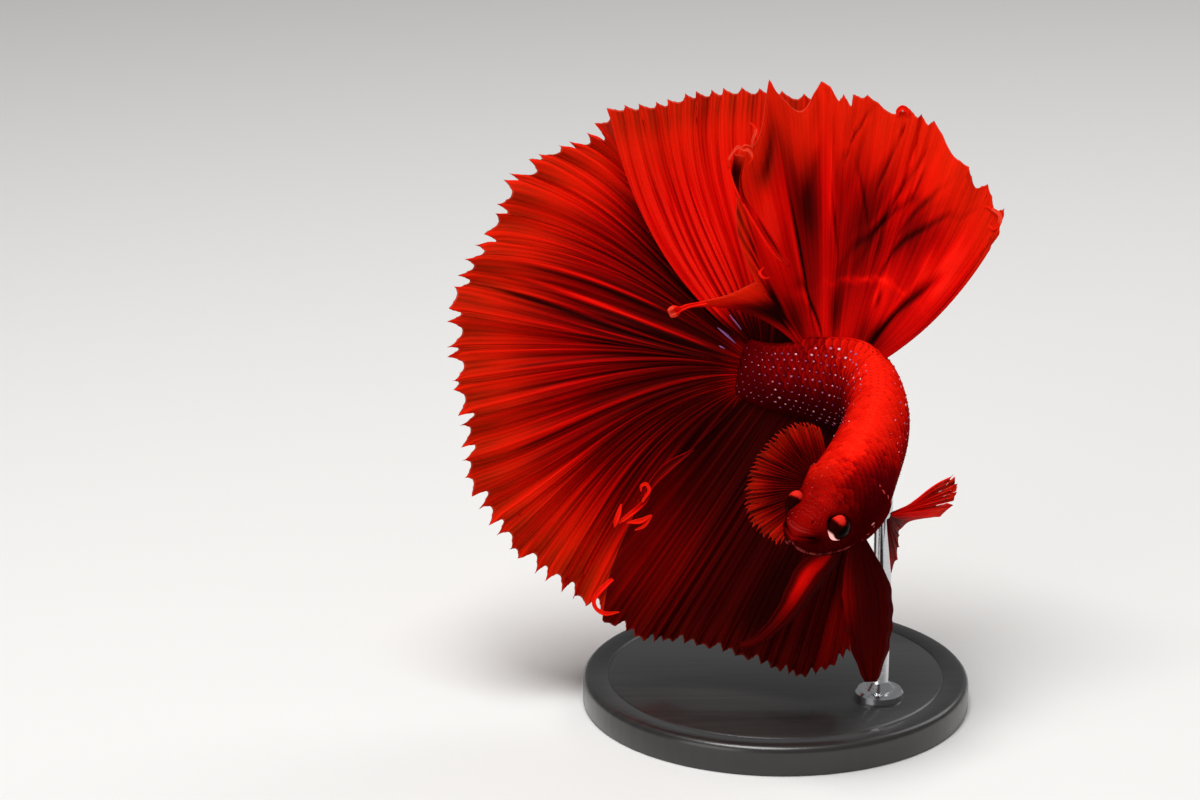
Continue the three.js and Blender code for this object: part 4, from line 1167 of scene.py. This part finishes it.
PECTORAL_ROOT = 0.5  # how far from the fin's joint its rays start
HAIR_FIN = {"spike": 2.6, "thickness": 0.14, "rib": 0.07, "pleat_depth": 0.12, "folds": lambda across, out: 0}
PECTORALS = {
    "right": {
        "rays": [
            [0, 93, 7.4, -0.2, -0.4, -0.4], [0.12, 108, 8.4, -0.4, 0, 0], [0.35, 142, 8.7, -0.8, 0, 0],
            [0.6, 178, 9.4, -1, 0, 0], [0.78, 203, 10, -0.9, 0, 0], [1, 234, 9, -0.5, 0, 0],
        ],
        "joint": [2, -11.2, 15.6],
        "tips": np.linspace(0, 1, 41),
        "cuts": 0.7 + 0.3 * np.sin(2.3 * np.arange(40)),
        "pleats": 12,
        "shade": right_shade,
        "lined_and_clear": (0.7, 0.12),
    },
    "left": {
        "rays": [
            [0, 30, 9.7, -0.8, -0.5, 0.4], [0.15, 22, 9.7, -1.4, 0, 0], [0.3, 15, 9.2, -2.2, 0, 0],
            [0.42, 7, 8.5, -3, 0, 0], [0.52, -2, 6.9, -3.6, 0, 0], [0.57, -3, 6, -4, 0, 0],
            [0.6, -10, 3.6, -4.2, 0, 0], [0.65, -42, 2.7, -4.4, 0, 0], [0.74, -60, 3.6, -4.4, 0, 0],
            [0.84, -69, 4.8, -4.2, 0, 0], [1, -84, 7.2, -2.8, 0, 0],
        ],
        "joint": [10.1, -14.8, 18.2],
        "tips": [0, 0.05, 0.1, 0.16, 0.22, 0.29, 0.35, 0.42, 0.52, 0.6, 0.7, 0.8, 0.9, 1],
        "cuts": [0.8, 1.6, 2.8, 1.2, 2.2, 1.4, 2.6, 0.5, 0, 0.3, 0.4, 0.5, 0.4],
        "pleats": 9,
        "shade": left_shade,
        "lined_and_clear": (0.8, 0.15),
    },
}
for side_name, fin in PECTORALS.items():

    def fan_root(across, fin=fin):
        """A short way from the fin's joint, along each ray."""
        return np.array(fin["joint"]) + heading(track(fin["rays"])(across)[:, 0]) * PECTORAL_ROOT

    breast_fan = fan("breast_fan_" + side_name, HAIR_FIN | fin, fan_root, 12, 44)
    ray_count = len(fin["tips"]) - 1
    resin = fin_finish("breast_fin_resin_" + side_name, ray_count, 0, 0.5, *fin["lined_and_clear"])
    dress(breast_fan, resin, "fin", "pectoral_fin_" + side_name)

# ---- Ventral fins ----
# Two long narrow blades of dark red resin, deepened with painted shade, that hang under the throat, each
# stiffened by one strong ray.
# Their roots are let into the flesh. Each blade: share of its length, its middle line and its half width.
VENTRALS = {
    "right": [
        [0, 4.2, -17, 16.6, 0.9], [0.15, 2.6, -20.2, 15.8, 1.5], [0.3, 0.6, -22.4, 15.2, 2],
        [0.45, -0.9, -24.8, 14.8, 1.8], [0.6, -2.3, -27.1, 14.3, 1.4], [0.75, -4.2, -29.4, 13.8, 1],
        [0.88, -6.4, -31.3, 13.2, 0.7], [1, -8.8, -32.1, 12.6, 0.4],
    ],
    "left": [
        [0, 6.5, -17.6, 16.2, 0.9], [0.15, 7.1, -21, 15.6, 2.2], [0.35, 7.8, -24.6, 15, 3.2],
        [0.5, 8.1, -27.2, 14.5, 3.2], [0.7, 8.3, -30.3, 14, 2.9], [0.87, 8.4, -33.4, 13.6, 2.1],
        [1, 8.5, -36.6, 13.2, 0.8],
    ],
}
VENTRAL_CUP, VENTRAL_RAYS = 0.25, 6
# The second number of each is how bright the painted highlight on the strong ray is.
STRONG_RAY = {"right": (0.44, 0.66), "left": (0.06, 0.3)}  # its place across each blade, and how bright


def ventral_blade(name, rows, strong, highlight, columns=84, steps=90):
    """A thin closed blade on its middle line, its edges turned back and its rays raised on both faces."""
    across, out = spread(columns, steps, 1)
    blade = track(rows)
    here, ahead = blade(out), blade(out + 0.01)
    side = unit(np.stack([here[:, 1] - ahead[:, 1], ahead[:, 0] - here[:, 0], 0 * out], 1))
    half_width = here[:, 3] * (1 + 0.05 * np.sin(out * 40) * out)
    middle = here[:, :3] + side * (half_width * (2 * across - 1))[:, None]
    middle[:, 2] += 0.15 * np.sin(across * 2 * pi * 2.5 + 1) * ease(out, 0, 0.3)
    middle[:, 2] -= VENTRAL_CUP * (2 * across - 1) ** 2 * here[:, 3]
    leading = swelling(across, strong, 0.24)
    half = 0.11 + 0.02 * crest(VENTRAL_RAYS * across) ** 4 + 0.16 * leading
    half *= inside(across, 0.03) * inside(out, 0.04)
    # Dark red, partly its own colour and partly painted shade, with a painted highlight along the strong ray.
    dark = 0.76 - highlight * leading * swelling(out, 0.36, 0.26) - 0.12 * swelling(across, 1 - strong, 0.08)
    dark += 0.06 * ripple(across, (3, 0.6, 0.3), (5, 0.4, 0.7))
    return thin_sheet(name, columns, middle, half, (across, out * 0.9), dark)


ventral_resin = fin_finish("ventral_fin_resin", VENTRAL_RAYS, 0, 0.1, 0.3)
for side_name, rows in VENTRALS.items():
    blade_piece = ventral_blade("ventral_blade_" + side_name, rows, *STRONG_RAY[side_name])
    dress(blade_piece, ventral_resin, "fin", "ventral_fin_" + side_name)

# ---- Stand base ----
# A turned disc of black-stained hardwood with a satin lacquer and a softly rounded upper edge. A shallow
# groove runs round its top, and the rod is screwed into its middle part.
base_low, base_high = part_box("stand_base")
base_radius, base_height = base_high.x, base_high.z - base_low.z
UPPER_ROUNDING, LOWER_ROUNDING = (0.0009, 5), (0.0003, 2)  # in metres, and in how many steps
RING_IN, RING_DEPTH, RING_WIDTH = 0.0022, 0.0002, 0.0003  # of the groove round the top, in metres
disc = bmesh.new()
bmesh.ops.create_cone(
    disc, cap_ends=True, segments=160, radius1=base_radius, radius2=base_radius, depth=base_height
)
bmesh.ops.translate(disc, verts=disc.verts, vec=(0, 0, (base_low.z + base_high.z) / 2))
for from_height, (offset, steps) in ((base_high.z * 0.9, UPPER_ROUNDING), (-1, LOWER_ROUNDING)):
    sharp = [e for e in disc.edges if len(e.link_faces) == 2 and e.calc_face_angle() > 1]
    rim = [e for e in sharp if e.verts[0].co.z > from_height]
    bmesh.ops.bevel(disc, geom=rim, offset=offset, segments=steps, profile=0.5, affect="EDGES", material=-1)
top = max(disc.faces, key=lambda face: face.calc_center_median().z)
for depth, thickness in ((0, RING_IN), (-RING_DEPTH, RING_WIDTH), (RING_DEPTH, RING_WIDTH)):
    bmesh.ops.inset_region(disc, faces=[top], thickness=thickness, depth=depth, use_even_offset=True)
stand_disc = piece_from(disc, "stand_disc")
stand_disc.data.set_sharp_from_angle(angle=radians(40))


def wood_finish():
    finish = Finish("black_lacquered_wood")
    x, y = finish.object_place("X", "Y")
    grain = finish.noise(x * 60, y * 900, 0, 3)
    broad = finish.noise(x * 20, y * 140, 3)
    stain = [[0.3, 0.006, 0.0055, 0.005], [0.7, 0.022, 0.018, 0.016]]
    lacquer = {"Coat Weight": 0.4, "Coat Roughness": 0.15, "Normal": finish.bump(grain, 0.00003)}
    colour = finish.colours(grain * 0.6 + broad * 0.4, *stain)
    return finish.done({"Base Color": colour, "Roughness": broad * 0.2 + 0.26} | lacquer)


dress(stand_disc, wood_finish(), "base", "stand_base")

# ---- Stand rod ----
# A polished steel rod screwed into the base through a small turned foot. Its upper end is let into the
# belly, and carries the whole fish.
rod_low, rod_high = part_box("stand_rod")
FOOT_RADIUS, ROD_RADIUS = (rod_high.x - rod_low.x) / 2, 0.0012
ROD_HEIGHT = rod_high.z - base_high.z
# Radius, and height over the base, from the middle of the foot to the middle of the rod's upper end.
PROFILE = [
    (0, 0), (FOOT_RADIUS, 0), (FOOT_RADIUS, 0.0008), (FOOT_RADIUS - 0.0003, 0.0012),
    (ROD_RADIUS + 0.0008, 0.0013), (ROD_RADIUS + 0.0001, 0.0022), (ROD_RADIUS, 0.0024),
    (ROD_RADIUS, ROD_HEIGHT), (0, ROD_HEIGHT),
]
rod = bmesh.new()
line = [rod.verts.new((radius, 0, base_high.z + height)) for radius, height in PROFILE]
edges = [rod.edges.new(pair) for pair in zip(line, line[1:])]
bmesh.ops.spin(rod, geom=line + edges, cent=(0, 0, 0), axis=(0, 0, 1), angle=2 * pi, steps=48, use_merge=True)
bmesh.ops.translate(rod, verts=rod.verts, vec=((rod_low.x + rod_high.x) / 2, (rod_low.y + rod_high.y) / 2, 0))
bmesh.ops.remove_doubles(rod, verts=rod.verts, dist=1e-7)
stand_post = piece_from(rod, "stand_post")
stand_post.data.set_sharp_from_angle(angle=radians(30))


def steel_finish():
    finish = Finish("polished_steel")
    x, z = finish.object_place("X", "Z")
    turning = finish.noise(x * 200, z * 9000)
    colour = finish.colours(turning, [0.3, 0.55, 0.55, 0.57], [0.7, 0.72, 0.72, 0.74])
    surface = {"Base Color": colour, "Metallic": 1, "Roughness": turning * 0.15 + 0.15}
    return finish.done(surface | {"Normal": finish.bump(turning, 0.000004)})


dress(stand_post, steel_finish(), "rod", "stand_rod")

# ---- Studio ----
# A plain pale floor under one broad soft light from above, a weaker one from the front, a small one from
# behind and an even sky. None of it is part of the model.
FLOOR_SIZE = 6
LIT_POINT = Vector((0, 0, 0.04))
floor_mesh = bmesh.new()
bmesh.ops.create_grid(floor_mesh, x_segments=1, y_segments=1, size=FLOOR_SIZE / 2)
floor = piece_from(floor_mesh, "floor", smooth=False)
paper = {"Base Color": (0.78, 0.77, 0.75, 1), "Roughness": 0.9}
floor.data.materials.append(Finish("pale_paper").done(paper))
for light_name, at, size, power in (
    ("key_light", (-0.08, -0.1, 0.6), 0.3, 3.4),
    ("fill_light", (-0.5, -0.6, 0.25), 0.5, 1.6),
    ("rim_light", (0.35, 0.3, 0.4), 0.3, 0.6),
):
    lamp = bpy.data.lights.new(light_name, "AREA")
    lamp.energy, lamp.size = power, size
    light = bpy.data.objects.new(light_name, lamp)
    light.location = at
    light.rotation_euler = (Vector(at) - LIT_POINT).to_track_quat("Z", "Y").to_euler()
    bpy.context.scene.collection.objects.link(light)
world = bpy.data.worlds.new("studio")
world.use_nodes = True
sky = world.node_tree.nodes["Background"].inputs
sky["Color"].default_value, sky["Strength"].default_value = (0.97, 0.98, 1, 1), 0.24
bpy.context.scene.world = world
bpy.context.scene.view_settings.view_transform = "Standard"
